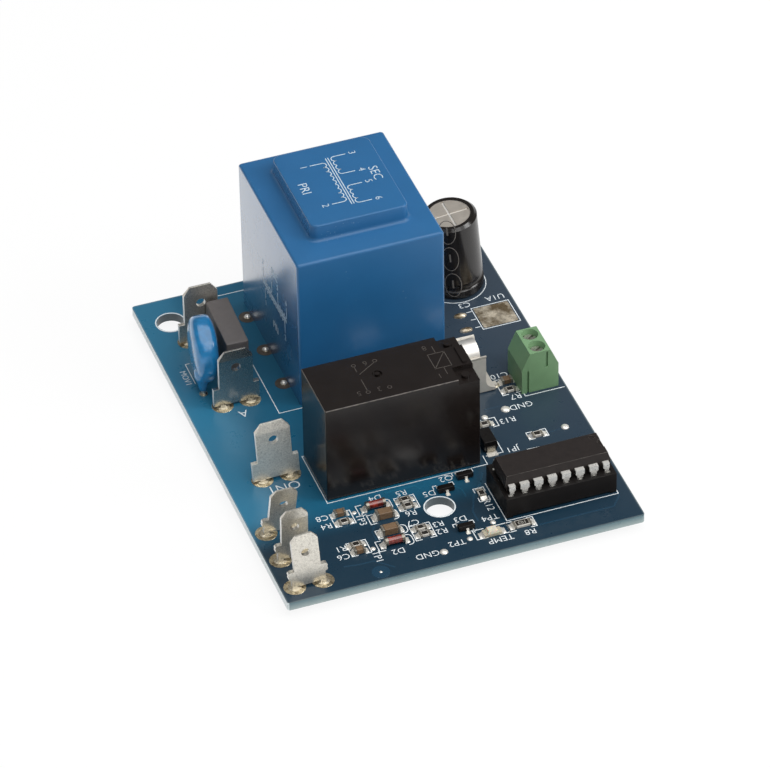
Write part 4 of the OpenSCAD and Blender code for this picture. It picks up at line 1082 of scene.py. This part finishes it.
@dataclass
class SmallParts:
    """Chip resistors, chip capacitors, diodes, three-lead packages, rectifier and lamp, with solder and brackets.

    Attributes:
        small: Middles of the small chip resistors along x.
        turned: Middle of the one along y.
        value_at: Middle of the large chip resistor, which carries its value.
        value: Its value.
        value_ink: Height of the figures and thickness of their ink.
        glaze_inset: How much shorter and narrower the glaze is than a resistor's body.
        glaze_edge: Corner radius and thickness of the glaze.
        glaze_z: Height of a resistor's body.
        capacitors: Middles of the small chip capacitors.
        large_capacitors: Middles of the large ones.
        diodes: Middles of the glass diodes.
        large: Length and width of a large chip part.
        diode: Length and width of a glass diode.
        lamp_at: Middle of the lamp.
        lamp_sign: Middle of the plus sign beside it.
        sign_half: Half the length of the sign's lines.
        rectifier_at: Middle of the rectifier.
        rectifier_reach: Distance from there to its lands.
        rectifier_land: Width, depth, corner radius and thickness of such a land.
        triodes: x, y and turn of the three-lead packages.
        feet: Places of the feet of such a package.
        foot_land: Width and depth of a foot's land.
        foot_corner: Corner radius of that land.
        triode_corner: Corner printed beside the package.
        line_w: Width of a printed line.
        brackets: Printed brackets.
    """

    small: Path = ((15.9, 16.45), (15.8, 10.05), (27.6, 18.2), (27.6, 16.5), (27.8, 8.55), (27.65, 10.3), (55.3, 26.5),
                   (47.65, 32.3), (55.2, 39.7))
    turned: Point = (40.6, 15.0)
    value_at: Point = (44.3, 5.15)
    value: str = "103"
    value_ink: Point = (0.75, 0.012)
    glaze_inset: Point = (0.95, 0.4)
    glaze_edge: Point = (0.08, 0.02)
    glaze_z: float = 0.5
    capacitors: Path = ((15.9, 18.6), (15.8, 8.3), (55.5, 42.1))
    large_capacitors: Path = ((23.0, 15.5), (22.5, 11.3))
    diodes: Path = ((22.3, 18.3), (22.2, 8.3))
    large: Point = (3.2, 1.6)
    diode: Point = (3.5, 1.5)
    lamp_at: Point = (38.7, 4.8)
    lamp_sign: Point = (36.05, 6.6)
    sign_half: float = 0.6
    rectifier_at: Point = (46.15, 27.2)
    rectifier_reach: float = 2.75
    rectifier_land: tuple[Point, float, float] = ((1.9, 1.3), 0.15, 0.1)
    triodes: tuple[Triple, ...] = ((35.2, 18.2, 180), (39.5, 20.4, 180), (34.95, 7.5, 180))
    feet: Path = ((-0.95, -1.15), (0.95, -1.15), (0.0, 1.15))
    foot_land: Point = (0.75, 0.8)
    foot_corner: float = 0.1
    triode_corner: Path = ((-1.1, -1.75), (-1.85, -1.75), (-1.85, -0.9))
    line_w: float = 0.16
    brackets: tuple[Bracket, ...] = (
        Bracket((27.77, 17.45), (1.79, 1.8)), Bracket((27.74, 9.45), (1.84, 1.97)),
        Bracket((16.04, 17.46), (1.82, 1.79)), Bracket((16.05, 9.25), (1.75, 1.75)),
        Bracket((55.42, 26.7), (1.79, 0.98)), Bracket((48.2, 32.5), (1.79, 1.2)),
        Bracket((44.2, 5.2), (2.43, 1.26)), Bracket((40.6, 15.0), (1.8, 0.95), turn=90),
        Bracket((55.35, 40.9), (1.8, 2.2)), Bracket((38.75, 5.25), (3.03, 1.23), arm=2.0),
        Bracket((22.75, 15.45), (2.65, 1.23), EndMark.ROUND), Bracket((22.8, 11.3), (2.72, 1.1), EndMark.ROUND),
        Bracket((22.15, 18.35), (3.05, 1.36), EndMark.ROUND), Bracket((22.3, 8.35), (3.2, 1.32), EndMark.ROUND))

    def resistors(self) -> list[Chip]:
        """Solder of all chip resistors."""
        return [Chip(at) for at in self.small] + [Chip(self.turned, turn=90), Chip(self.value_at, self.large)]

    def chips(self) -> list[Chip]:
        """Solder of all two-ended parts.

        Returns:
            Resistors, capacitors, diodes and lamp.
        """
        return (self.resistors() + [Chip(at, height=0.6, toe=0.6) for at in self.capacitors]
                + [Chip(at, self.large, 0.8, toe=0.8) for at in self.large_capacitors]
                + [Chip(at, self.diode, 0.5, toe=0.9) for at in self.diodes]
                + [Chip(self.lamp_at, self.large, 0.4, toe=0.8)])

    def glazes(self) -> Shape:
        """Dark glaze on top of each chip resistor, set back from its white edges.

        Returns:
            All glazes, in place.
        """
        plates = [(plate((0, 0), tuple(np.subtract(chip.size, self.glaze_inset)), *self.glaze_edge), chip)
                  for chip in self.resistors()]
        return join([glaze.moved((*chip.at, self.glaze_z), chip.turn) for glaze, chip in plates])

    def at_triodes(self, one: Shape) -> Shape:
        """Repeats a shape at every three-lead package."""
        return join([one.moved((x, y, 0), turn) for x, y, turn in self.triodes])

    def lands(self) -> Shape:
        """Small lands with a little solder under the feet of the three-lead packages and of the rectifier.

        Returns:
            All lands, in place.
        """
        x, y = self.rectifier_at
        feet = join([plate(foot, self.foot_land, self.foot_corner) for foot in self.feet])
        ends = [plate((x, y + side * self.rectifier_reach), *self.rectifier_land) for side in (-1, 1)]
        return join([self.at_triodes(feet), *ends])

    def print_shape(self) -> Shape:
        """Brackets, corners beside the three-lead packages, and the lamp's plus sign.

        Returns:
            All of this print, in place.
        """
        x, y = self.lamp_sign
        half = self.sign_half
        corners = [self.triode_corner, [(-u, v) for u, v in self.triode_corner]]
        sign = [[(x - half, y), (x + half, y)], [(x, y - half), (x, y + half)]]
        return join([bracket.shape() for bracket in self.brackets]
                    + [self.at_triodes(join([stroke(corner, self.line_w) for corner in corners]))]
                    + [stroke(line, self.line_w) for line in sign])

    def build(self) -> None:
        """Builds the solder and print, and dresses the parts."""
        value_z = self.glaze_z + self.glaze_edge[1]
        value = lettering(self.value, *self.value_ink).moved((*self.value_at, value_z), Turn.BACKWARD.value)
        make_piece("chip_solder", join([chip.pads() for chip in self.chips()]), SOLDER, "solder")
        make_piece("triode_lands", self.lands(), SOLDER, "solder")
        make_piece("part_brackets", self.print_shape(), SILK, "laminate")
        make_piece("resistor_value", value, MARK, "resistor")
        make_piece("resistor_glaze", self.glazes(), RESISTOR, "resistor")
        soften(ALUMINA, "resistor", 0.06, "resistor_bodies")
        soften(CERAMIC, "ceramic", 0.12, "ceramic_bodies")
        soften(END_PLATE, "tinned", 0.06, "chip_ends")
        soften(BLACK_EPOXY, "chip_black", 0.08, "triode_bodies", "rectifier_body")
        dress(SOLDER, "triode_leads")
        dress(DIODE_END, "diode_ends", "rectifier_leads")
        dress(RED_GLASS, "diode_glass")
        dress(LAMP_RESIN, "lamp_lens")
        dress(LAMP_BASE, "lamp_base")


@dataclass
class Transformer:
    """Potted transformer: a smooth case with a raised panel, and a winding diagram printed on it.

    Attributes:
        at: Middle of the case.
        size: Width, depth and height of the case.
        edge: Radius of its edges.
        wall: Thickness of its wall.
        panel: Width, depth and height of the raised panel.
        shift: Shift of the panel from the case's middle.
        flare: How far the panel's foot spreads.
        cove: How much of that spread the cove takes up, and its height as a share of the panel's.
        lip: Radius of the panel's top edge.
        corner: Corner radius of the panel.
        rim: Corner radius and depth of the open rim's inside.
        line_w: Width of a printed line.
        coil_pitch: Width of a half circle in a winding symbol.
        coil_wire: Length of the wires at its ends.
        words: Pin numbers and names in the diagram, with place and height.
        mark_scale: Size of the small diagram on the left wall.
        mark_at: Its middle, as y from the case's middle and height.
    """

    at: Point = (32.9, 64.5)
    size: Triple = (27.2, 31.6, 31.2)
    edge: float = 0.5
    wall: float = 1.4
    panel: Triple = (17.9, 21.7, 3.1)
    shift: Point = (0.2, 0.7)
    flare: float = 0.9
    cove: Point = (0.8, 0.22)
    lip: float = 0.25
    corner: float = 1.4
    rim: Point = (0.4, 1.5)
    line_w: float = 0.17
    coil_pitch: float = 1.3
    coil_wire: float = 2.2
    words: tuple[tuple[str, float, float, float], ...] = (
        ("1", -5.85, -4.7, 1.3), ("2", 5.85, -4.7, 1.3), ("3", -7.0, 4.7, 1.3), ("4", -1.8, 4.7, 1.3),
        ("5", 1.8, 4.7, 1.3), ("6", 7.0, 4.7, 1.3), ("PRI", 0.0, -6.6, 1.7), ("SEC", 0.0, 6.6, 1.7))
    mark_scale: float = 0.9
    mark_at: Point = (-3.0, 14.0)

    def panel_at(self) -> Point:
        """Middle of the panel."""
        return self.at[0] + self.shift[0], self.at[1] + self.shift[1]

    def case(self) -> Shape:
        """Rings of rounded rectangles from inside the open rim, over the walls, to the panel's top.

        The case's top edge is a quarter circle; the panel's foot is a small cove, a quarter circle hollow to the
        outside, its wall leans in a little, and its top edge is a small quarter circle.

        Returns:
            The case, open at its foot.
        """
        (width, depth, height), (panel_w, panel_d, rise) = self.size, self.panel
        turn = np.linspace(0, np.pi / 2, 7)
        inward, below = 1 - np.cos(turn), 1 - np.sin(turn)
        inner = (width - 2 * self.wall, depth - 2 * self.wall)
        inner_r, inner_z = self.rim
        drawn_in, cove_rise = self.cove
        corner_ease = 0.6
        middle = self.panel_at()
        rows = [(*inner, inner_r, inner_z, *self.at), (*inner, inner_r, 0, *self.at),
                (width, depth, self.edge, 0, *self.at)]
        rows += [(width - 2 * inset, depth - 2 * inset, self.edge, z, *self.at)
                 for inset, z in zip(self.edge * inward, height - self.edge * below)]
        rows += [(panel_w + 2 * spread, panel_d + 2 * spread, self.corner + corner_ease * spread, z, *middle)
                 for spread, z in zip(self.flare * (1 - drawn_in * np.sin(turn)), height + cove_rise * rise * inward)]
        rows += [(panel_w - 2 * inset, panel_d - 2 * inset, self.corner, z, *middle)
                 for inset, z in zip(self.lip * inward, height + rise - self.lip * below)]
        return loft(round_rects(rows, 7))

    def coil(self, middle: Point, turns: int, side: int) -> Shape:
        """Winding symbol: a row of half circles along x that bulge to one side, with a wire down from each end.

        Args:
            middle: Middle of the row.
            turns: Number of half circles.
            side: 1 where they bulge to +y, -1 where they bulge to -y.

        Returns:
            The symbol as one stroke.
        """
        pitch = self.coil_pitch
        starts = middle[0] + pitch * (np.arange(turns) - (turns - 1) / 2)
        bows = np.vstack([arc((x, middle[1]), pitch / 2, side * 180, 0, 9) for x in starts])
        half, foot = turns * pitch / 2, middle[1] - side * self.coil_wire
        return stroke(np.vstack([[(middle[0] - half, foot)], bows, [(middle[0] + half, foot)]]), self.line_w)

    def diagram(self) -> Shape:
        """Winding diagram: a primary coil, two secondary coils, core lines and pin numbers.

        Returns:
            The flat diagram about the origin.
        """
        coils = [self.coil((0, -1.3), 9, 1), self.coil((-4.4, 1.3), 4, -1), self.coil((4.4, 1.3), 4, -1)]
        core = [stroke([(-7.0, y), (7.0, y)], self.line_w) for y in (-0.22, 0.22)]
        letters = [lettering(text, height).moved((x, y, 0)) for text, x, y, height in self.words]
        return join([*coils, *core, *letters])

    def side_mark(self) -> Shape:
        """The same diagram in small, for the left wall: y of the flat drawing runs up the wall.

        Returns:
            The diagram on the wall.
        """
        flat = self.diagram()
        x, y, z = (flat.points * [self.mark_scale, self.mark_scale, 1]).T
        shift, height = self.mark_at
        left = self.at[0] - self.size[0] / 2
        return flat.mapped(np.stack([left - z, self.at[1] + shift - x, height + y], axis=-1))

    def build(self) -> None:
        """Builds the case and its print, and dresses resin and pins."""
        place = (*self.panel_at(), self.size[2] + self.panel[2])
        shell = make_piece("transformer_shell", self.case(), CASE, "case_blue", "transformer_case")
        add_second_finish(shell.data, CASE_SIDE, ((-1, 0, 0), (1, 0, 0)))
        make_piece("winding_diagram", self.diagram().moved(place, -90), PAD_PRINT, "case_blue")
        make_piece("winding_mark", self.side_mark(), PAD_PRINT, "case_blue")
        dress(POTTING, "transformer_resin")
        dress(TINPLATE, "transformer_pins")


@dataclass
class Relay:
    """Sealed relay with a contact diagram marked on its top.

    Attributes:
        at: Middle of the diagram.
        top: Height of the cover.
        mark: Width and thickness of a marked line.
        dot: Middle radius and line width of a contact.
        text_h: Height of a pin number.
        box: Outline of the coil.
        lines: Wires and the moving contact.
        dots: Middles of the contacts.
        words: Pin numbers, with place.
    """

    at: Point = (29.2, 28.95)
    top: float = 20.0
    mark: Point = (0.16, 0.01)
    dot: Point = (0.35, 0.14)
    text_h: float = 1.2
    box: Path = ((-10.5, -2.0), (-7.5, -2.0), (-7.5, 2.0), (-10.5, 2.0))
    lines: tuple[Path, ...] = (
        ((-9.0, 2.0), (-9.0, 4.0)), ((-9.0, -2.0), (-9.0, -4.0)), ((1.5, -3.6), (5.2, -1.2)), ((5.4, 0.2), (5.4, 3.6)),
        ((5.4, -3.6), (5.4, -2.0)), ((-10.5, -2.0), (-7.5, 2.0)))
    dots: Path = ((1.5, -3.8), (1.5, 3.8), (5.4, -3.8), (5.4, 3.8))
    words: tuple[tuple[str, float, float], ...] = (
        ("1", -7.6, 4.0), ("8", -7.6, -4.0), ("3", 3.3, 3.6), ("6", 3.3, -3.8), ("5", 7.0, 3.6))

    def diagram(self) -> Shape:
        """Contact diagram: coil box, moving contact, fixed contacts and pin numbers.

        Returns:
            The flat diagram about the origin.
        """
        thickness = self.mark[1]
        return join([stroke(self.box, *self.mark, closed=True)] + [stroke(line, *self.mark) for line in self.lines]
                    + [ring(dot, *self.dot, thickness) for dot in self.dots]
                    + [lettering(text, self.text_h, thickness).moved((x, y, 0)) for text, x, y in self.words])

    def build(self) -> None:
        """Builds the mark and dresses cover, base and pins."""
        make_piece("contact_diagram", self.diagram().moved((*self.at, self.top), 180), LASER, "relay_black")
        # The cover's rounded edges that face front and left take a painted highlight.
        soften(RELAY_PLASTIC, "relay_black", 0, "relay_cover", painted_edge=PAINTED_EDGE_HIGHLIGHT, facing=((0, -1, 1), (-1, 0, 1)))
        dress(RELAY_PLASTIC, "relay_base")
        dress(TINPLATE, "relay_pins")


@dataclass
class Capacitor:
    """Smoothing capacitor: its polarity marks follow the sleeve's curve.

    Attributes:
        at: Place of its foot.
        radius: Radius over the sleeve.
        height: Height of the can's top.
        lean: Lean to the left, in degrees.
        mark_angle: Direction of the marks from the axis, in degrees.
        mark_heights: Heights of the marks.
        oval: Half-width and half-height of a mark.
        oval_line: Width and thickness of its line.
        minus: Ends of the minus sign in it.
        minus_line: Width and thickness of the sign.
        score: Length and width of the lines scored into the top.
        score_depth: Depth of their floor.
        score_rises: Thickness of each line's bright floor; they differ so that no two faces coincide.
    """

    at: Point = (57.1, 71.6)
    radius: float = 5.0
    height: float = 16.2
    lean: float = 5.0
    mark_angle: float = -114.0
    mark_heights: tuple[float, ...] = (3.7, 9.8, 16.0)
    oval: Point = (1.5, 2.7)
    oval_line: Point = (0.15, 0.015)
    minus: Path = ((0, -0.7), (0, 1.1))
    minus_line: Point = (0.3, 0.015)
    score: Point = (7.0, 0.36)
    score_depth: float = 0.22
    score_rises: Point = (0.08, 0.09)

    def leaning(self, flat: Shape, points: np.ndarray) -> Shape:
        """Puts points from the can's own upright frame into its leaning place on the board.

        Args:
            flat: Shape whose faces are kept.
            points: Its points in the can's upright frame.

        Returns:
            The shape in its leaning place.
        """
        tilt = math.radians(self.lean)
        spin = np.array([[math.cos(tilt), 0, -math.sin(tilt)], [0, 1, 0], [math.sin(tilt), 0, math.cos(tilt)]])
        return flat.mapped(points @ spin.T + [*self.at, 0])

    def marks(self) -> Shape:
        """Ovals with a minus sign, wrapped on the cylinder: angle = x / R, radius = R + thickness.

        Returns:
            All marks, in place.
        """
        one = join([stroke(arc((0, 0), 1.0) * self.oval, *self.oval_line, closed=True),
                    stroke(self.minus, *self.minus_line)])
        flat = join([one.moved((0, z, 0)) for z in self.mark_heights])
        angle = math.radians(self.mark_angle) + flat.points[:, 0] / self.radius
        reach = self.radius + flat.points[:, 2]
        wrapped = np.stack([reach * np.cos(angle), reach * np.sin(angle), flat.points[:, 1]], axis=-1)
        return self.leaning(flat, wrapped)

    def vent(self) -> Shape:
        """Bright floor of the cross scored into the can's top: bare metal, paler than the can as a painted highlight.

        Returns:
            The cross, in place.
        """
        half, width = self.score[0] / 2, self.score[1]
        paths = ([(-half, 0), (half, 0)], [(0, -half), (0, half)])
        lines = join([stroke(path, width, rise) for path, rise in zip(paths, self.score_rises)])
        return self.leaning(lines, lines.points + [0, 0, self.height - self.score_depth])

    def build(self) -> None:
        """Builds the marks and the scored cross, and dresses can, sleeve, bung and leads."""
        make_piece("polarity_marks", self.marks(), SLEEVE_PRINT, "sleeve")
        make_piece("vent_score", self.vent(), SCORED_PAINTED_HIGHLIGHT, "can")
        dress(ALUMINIUM, "capacitor_can")
        dress(SLEEVE, "capacitor_sleeve")
        dress(RUBBER, "capacitor_bung")
        dress(TINPLATE, "capacitor_leads")


@dataclass
class Varistor:
    """Dipped disc varistor: a lumpy coat that swells over the element and runs down onto both leads.

    Attributes:
        at: Middle of the disc.
        height: Height of its middle.
        radius: Outer radius.
        thickness: Greatest thickness.
        turn: Turn from the board's depth.
        pitch: Distance between the leads.
        stagger: Offset of each lead from the disc's middle plane.
        lead_r: Radius of a lead.
        run: Thickness of the coat on a lead, with the height at which it has it.
        thinning: How much of its thickness the disc loses at its foot.
        drift: How far the foot draws to the left.
    """

    at: Point = (5.75, 61.6)
    height: float = 7.1
    radius: float = 6.2
    thickness: float = 4.7
    turn: float = -8.0
    pitch: float = 7.5
    stagger: float = 0.9
    lead_r: float = 0.4
    run: Path = ((0.02, 1.0), (0.25, 1.1), (0.4, 1.7), (0.65, 2.6), (0.95, 3.5), (1.15, 4.4), (1.1, 5.4), (0.7, 6.2))
    thinning: float = 0.42
    drift: float = 0.6

    def coat(self) -> Shape:
        """A flattened ball: x = T/2 cos(a)^0.5 and r = R sin(a)^0.5, swelled by slow waves in both angles.

        Below its middle the ball thins and draws to the left, in step with the depth to the power 1.5.

        Returns:
            The coat, in place.
        """
        pole = 0.02
        across = np.linspace(pole, np.pi - pole, 33)[:, None]
        around = np.linspace(0, 2 * np.pi, 72, endpoint=False)[None, :]
        cosine = np.cos(across)
        swell = 1 - 0.012 * (1 + np.sin(3 * around + 0.6)) - 0.01 * (1 + np.cos(5 * around + 2 * across))
        reach = self.radius * np.sin(across) ** 0.5 * swell
        face = 1 - 0.04 * (1 + np.sin(2 * around + 1.0)) * np.sin(across)
        low = np.clip(-reach * np.sin(around) / self.radius, 0, 1) ** 1.5
        x = self.thickness / 2 * np.sign(cosine) * np.abs(cosine) ** 0.5 * face * (1 - self.thinning * low)
        rings = np.stack([-x - self.drift * low, reach * np.cos(around), reach * np.sin(around)], axis=-1)
        return loft(rings).moved((*self.at, self.height), self.turn)

    def sleeves(self) -> Shape:
        """Coat that runs down each lead and thins to its end.

        Returns:
            Both runs, in place.
        """
        one = revolve([(self.lead_r + thickness, z) for thickness, z in self.run], 20)
        both = join([one.moved((side * self.stagger, side * self.pitch / 2, 0)) for side in (-1, 1)])
        return both.moved((*self.at, 0), self.turn)

    def build(self) -> None:
        """Builds the coat and dresses the leads."""
        make_piece("varistor_coat", join([self.coat(), self.sleeves()]), LACQUER, "coating_blue", "varistor_disc")
        dress(TINPLATE, "varistor_leads")


@dataclass
class StockParts:
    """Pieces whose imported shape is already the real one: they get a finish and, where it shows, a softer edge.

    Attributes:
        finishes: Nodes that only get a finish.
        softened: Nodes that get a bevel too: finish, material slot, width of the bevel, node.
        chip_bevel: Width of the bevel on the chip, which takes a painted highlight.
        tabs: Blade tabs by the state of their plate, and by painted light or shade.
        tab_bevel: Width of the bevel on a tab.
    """

    finishes: tuple[tuple[Finish, tuple[str, ...]], ...] = (
        (PIN_METAL, ("chip_pins", "socket_contacts", "fuse_wire")),
        (NICKEL, ("fuse_caps",)), (ZINC, ("terminal_screw_front", "terminal_screw_back")),
        (TINPLATE, ("terminal_cage_front", "terminal_cage_back", "terminal_bars", "film_leads")),
        (SPRING, ("fuse_clip_left", "fuse_clip_right")),
        (FILM_BOX, ("film_box",)), (GLASS, ("fuse_tube",)))
    softened: tuple[tuple[Finish, str, float, str], ...] = (
        (GREEN_PLASTIC, "terminal_green", 0.12, "terminal_housing"),
        (SOCKET_PLASTIC, "socket_black", 0.1, "chip_socket"))
    chip_bevel: float = 0.05
    tabs: tuple[tuple[Finish, tuple[str, ...]], ...] = (
        (SHADED_BRIGHT_TIN, ("wide_tab_middle",)), (LIT_DULL_TIN, ("wide_tab_front",)),
        (TINPLATE, ("wide_tab_back", "narrow_tab_back", "narrow_tab_middle", "narrow_tab_front")))
    tab_bevel: float = 0.08

    def build(self) -> None:
        """Dresses the pieces and softens those whose edges catch the light."""
        for finish, nodes in self.finishes:
            dress(finish, *nodes)
        for finish, slot, width, node in self.softened:
            soften(finish, slot, width, node)
        # The chip's bevels take a painted highlight.
        soften(CHIP_EPOXY, "chip_black", self.chip_bevel, "chip_body", painted_edge=PAINTED_EDGE_HIGHLIGHT)
        for finish, nodes in self.tabs:
            # Each tab's left faces take bare cut metal with a painted reflection of the pale floor.
            soften(finish, "tinned", self.tab_bevel, *nodes, painted_edge=SHEARED_PAINTED_GLINT, facing=((-1, 0, 0),))


@dataclass
class SoftBox:
    """A soft box: its place and aim in millimetres from the floor's middle, its size and its power."""

    name: str
    at: Triple
    size: float
    power: float
    aim: Triple = (0.0, 0.0, 10.0)

    def build(self) -> None:
        """Adds the light."""
        data = bpy.data.lights.new(self.name, "AREA")
        data.shape, data.size, data.energy = "SQUARE", self.size * MM, self.power
        light = bpy.data.objects.new(self.name, data)
        light.location = Vector(self.at) * MM
        light.rotation_mode = "QUATERNION"
        light.rotation_quaternion = (Vector(self.aim) - Vector(self.at)).to_track_quat("-Z", "Y")
        bpy.context.scene.collection.objects.link(light)


@dataclass
class Studio:
    """White floor, soft light and the camera at the photograph's angle.

    Attributes:
        eye: Camera's place in millimetres.
        target: Point that it looks at.
        roll: Turn about its own axis, in degrees.
        lens: Focal length.
        sensor: Width of the sensor.
        clip: Nearest and farthest distance that the camera sees, in metres.
        floor_r: Radius of the floor.
        sky: Brightness of the world's ambient light.
        ceiling: Brightness of the world high above the floor, as reflections show it.
        horizon: Heights of a unit direction between which it falls to that.
        glow: Share of plain white in the floor as it is seen; the rest shows the object's shadow.
        lamps: Soft boxes.
    """

    eye: Triple = (-252.84, -729.37, 643.03)
    target: Triple = (0.12, -1.55, 10.0)
    roll: float = -1.08
    lens: float = 266.28
    sensor: float = 36.0
    clip: Point = (0.01, 20.0)
    floor_r: float = 4000.0
    sky: float = 0.3
    ceiling: float = 0.15
    horizon: Point = (0.05, 0.24)
    glow: float = 0.9
    lamps: tuple[SoftBox, ...] = (
        SoftBox("overhead_box", (140.0, -70.0, 850.0), 950.0, 5.6),
        SoftBox("key_box", (560.0, -330.0, 480.0), 300.0, 2.2),
        SoftBox("front_box", (60.0, -560.0, 620.0), 400.0, 1.0))

    def camera(self) -> None:
        """Adds the camera."""
        data = bpy.data.cameras.new("camera")
        data.lens, data.sensor_width = self.lens, self.sensor
        data.clip_start, data.clip_end = self.clip
        camera = bpy.data.objects.new("camera", data)
        camera.location = Vector(self.eye) * MM
        look = (Vector(self.target) - Vector(self.eye)).to_track_quat("-Z", "Y")
        camera.rotation_mode = "QUATERNION"
        camera.rotation_quaternion = look @ Quaternion((0, 0, 1), math.radians(self.roll))
        bpy.context.scene.collection.objects.link(camera)
        bpy.context.scene.camera = camera

    def seen(self, tree: Tree) -> Socket:
        """1 for rays of the camera, of reflections and through glass, and 0 for diffuse light.

        Args:
            tree: Nodes of the world or of the floor's material.

        Returns:
            The number's socket.
        """
        path = add_node(tree, "ShaderNodeLightPath").outputs
        shiny = add_node(tree, "ShaderNodeMath", {0: path["Is Camera Ray"], 1: path["Is Glossy Ray"]},
                         operation="MAXIMUM")
        return add_node(tree, "ShaderNodeMath", {0: shiny.outputs[0], 1: path["Is Transmission Ray"]},
                        operation="MAXIMUM").outputs[0]

    def world(self) -> None:
        """Surroundings: white near the floor and dark overhead to the eye, and even as ambient light."""
        world = bpy.data.worlds.new("studio")
        bpy.context.scene.world = world
        world.use_nodes = True
        tree = world.node_tree
        back = tree.nodes["Background"]
        way = add_node(tree, "ShaderNodeTexCoord").outputs["Generated"]
        height = add_node(tree, "ShaderNodeSeparateXYZ", {0: way})
        dim = add_node(tree, "ShaderNodeMapRange", {
            "Value": height.outputs[2], "From Min": self.horizon[0], "From Max": self.horizon[1],
            "To Min": 1.0, "To Max": self.ceiling}, interpolation_type="SMOOTHSTEP")
        power = add_node(tree, "ShaderNodeMix", {0: self.seen(tree), 2: self.sky, 3: dim.outputs[0]})
        tree.links.new(power.outputs[0], back.inputs["Strength"])
        back.inputs["Color"].default_value = linear("#ffffff")

    def floor(self) -> None:
        """Adds the pale floor, which is nearly white to the eye and keeps a faint shadow."""
        mesh = bpy.data.meshes.new("floor")
        rim = np.pad(arc((0, 0), self.floor_r, steps=64) * MM, ((0, 0), (0, 1)))
        mesh.from_pydata(rim.tolist(), [], [list(range(len(rim)))])
        material = bpy.data.materials.new("white_floor")
        material.use_nodes = True
        tree = material.node_tree
        tree.nodes.remove(tree.nodes["Principled BSDF"])
        matt = add_node(tree, "ShaderNodeBsdfDiffuse", {"Color": linear("#fbfbfa")})
        white = add_node(tree, "ShaderNodeEmission", {"Color": linear("#ffffff"), "Strength": 1.0})
        share = add_node(tree, "ShaderNodeMath", {0: self.seen(tree), 1: self.glow}, operation="MULTIPLY")
        mix = add_node(tree, "ShaderNodeMixShader", {0: share.outputs[0], 1: matt.outputs[0], 2: white.outputs[0]})
        tree.links.new(mix.outputs[0], tree.nodes["Material Output"].inputs["Surface"])
        mesh.materials.append(material)
        floor = bpy.data.objects.new("floor", mesh)
        floor.location.z = CAD_BOX[0].z
        bpy.context.scene.collection.objects.link(floor)

    def build(self) -> None:
        """Sets the view transform and builds camera, world, floor and lamps."""
        bpy.context.scene.view_settings.view_transform = "Standard"
        self.camera()
        self.world()
        self.floor()
        for lamp in self.lamps:
            lamp.build()


def main() -> None:
    """Builds the studio and every sub-assembly in order."""
    logging.basicConfig(level=logging.INFO, format="%(name)s: %(message)s")
    for part in (Studio(), Board(), SmallParts(), Transformer(), Relay(), Capacitor(), Varistor(), StockParts()):
        LOG.info("%s", type(part).__name__)
        part.build()


if __name__ == "__main__":
    main()
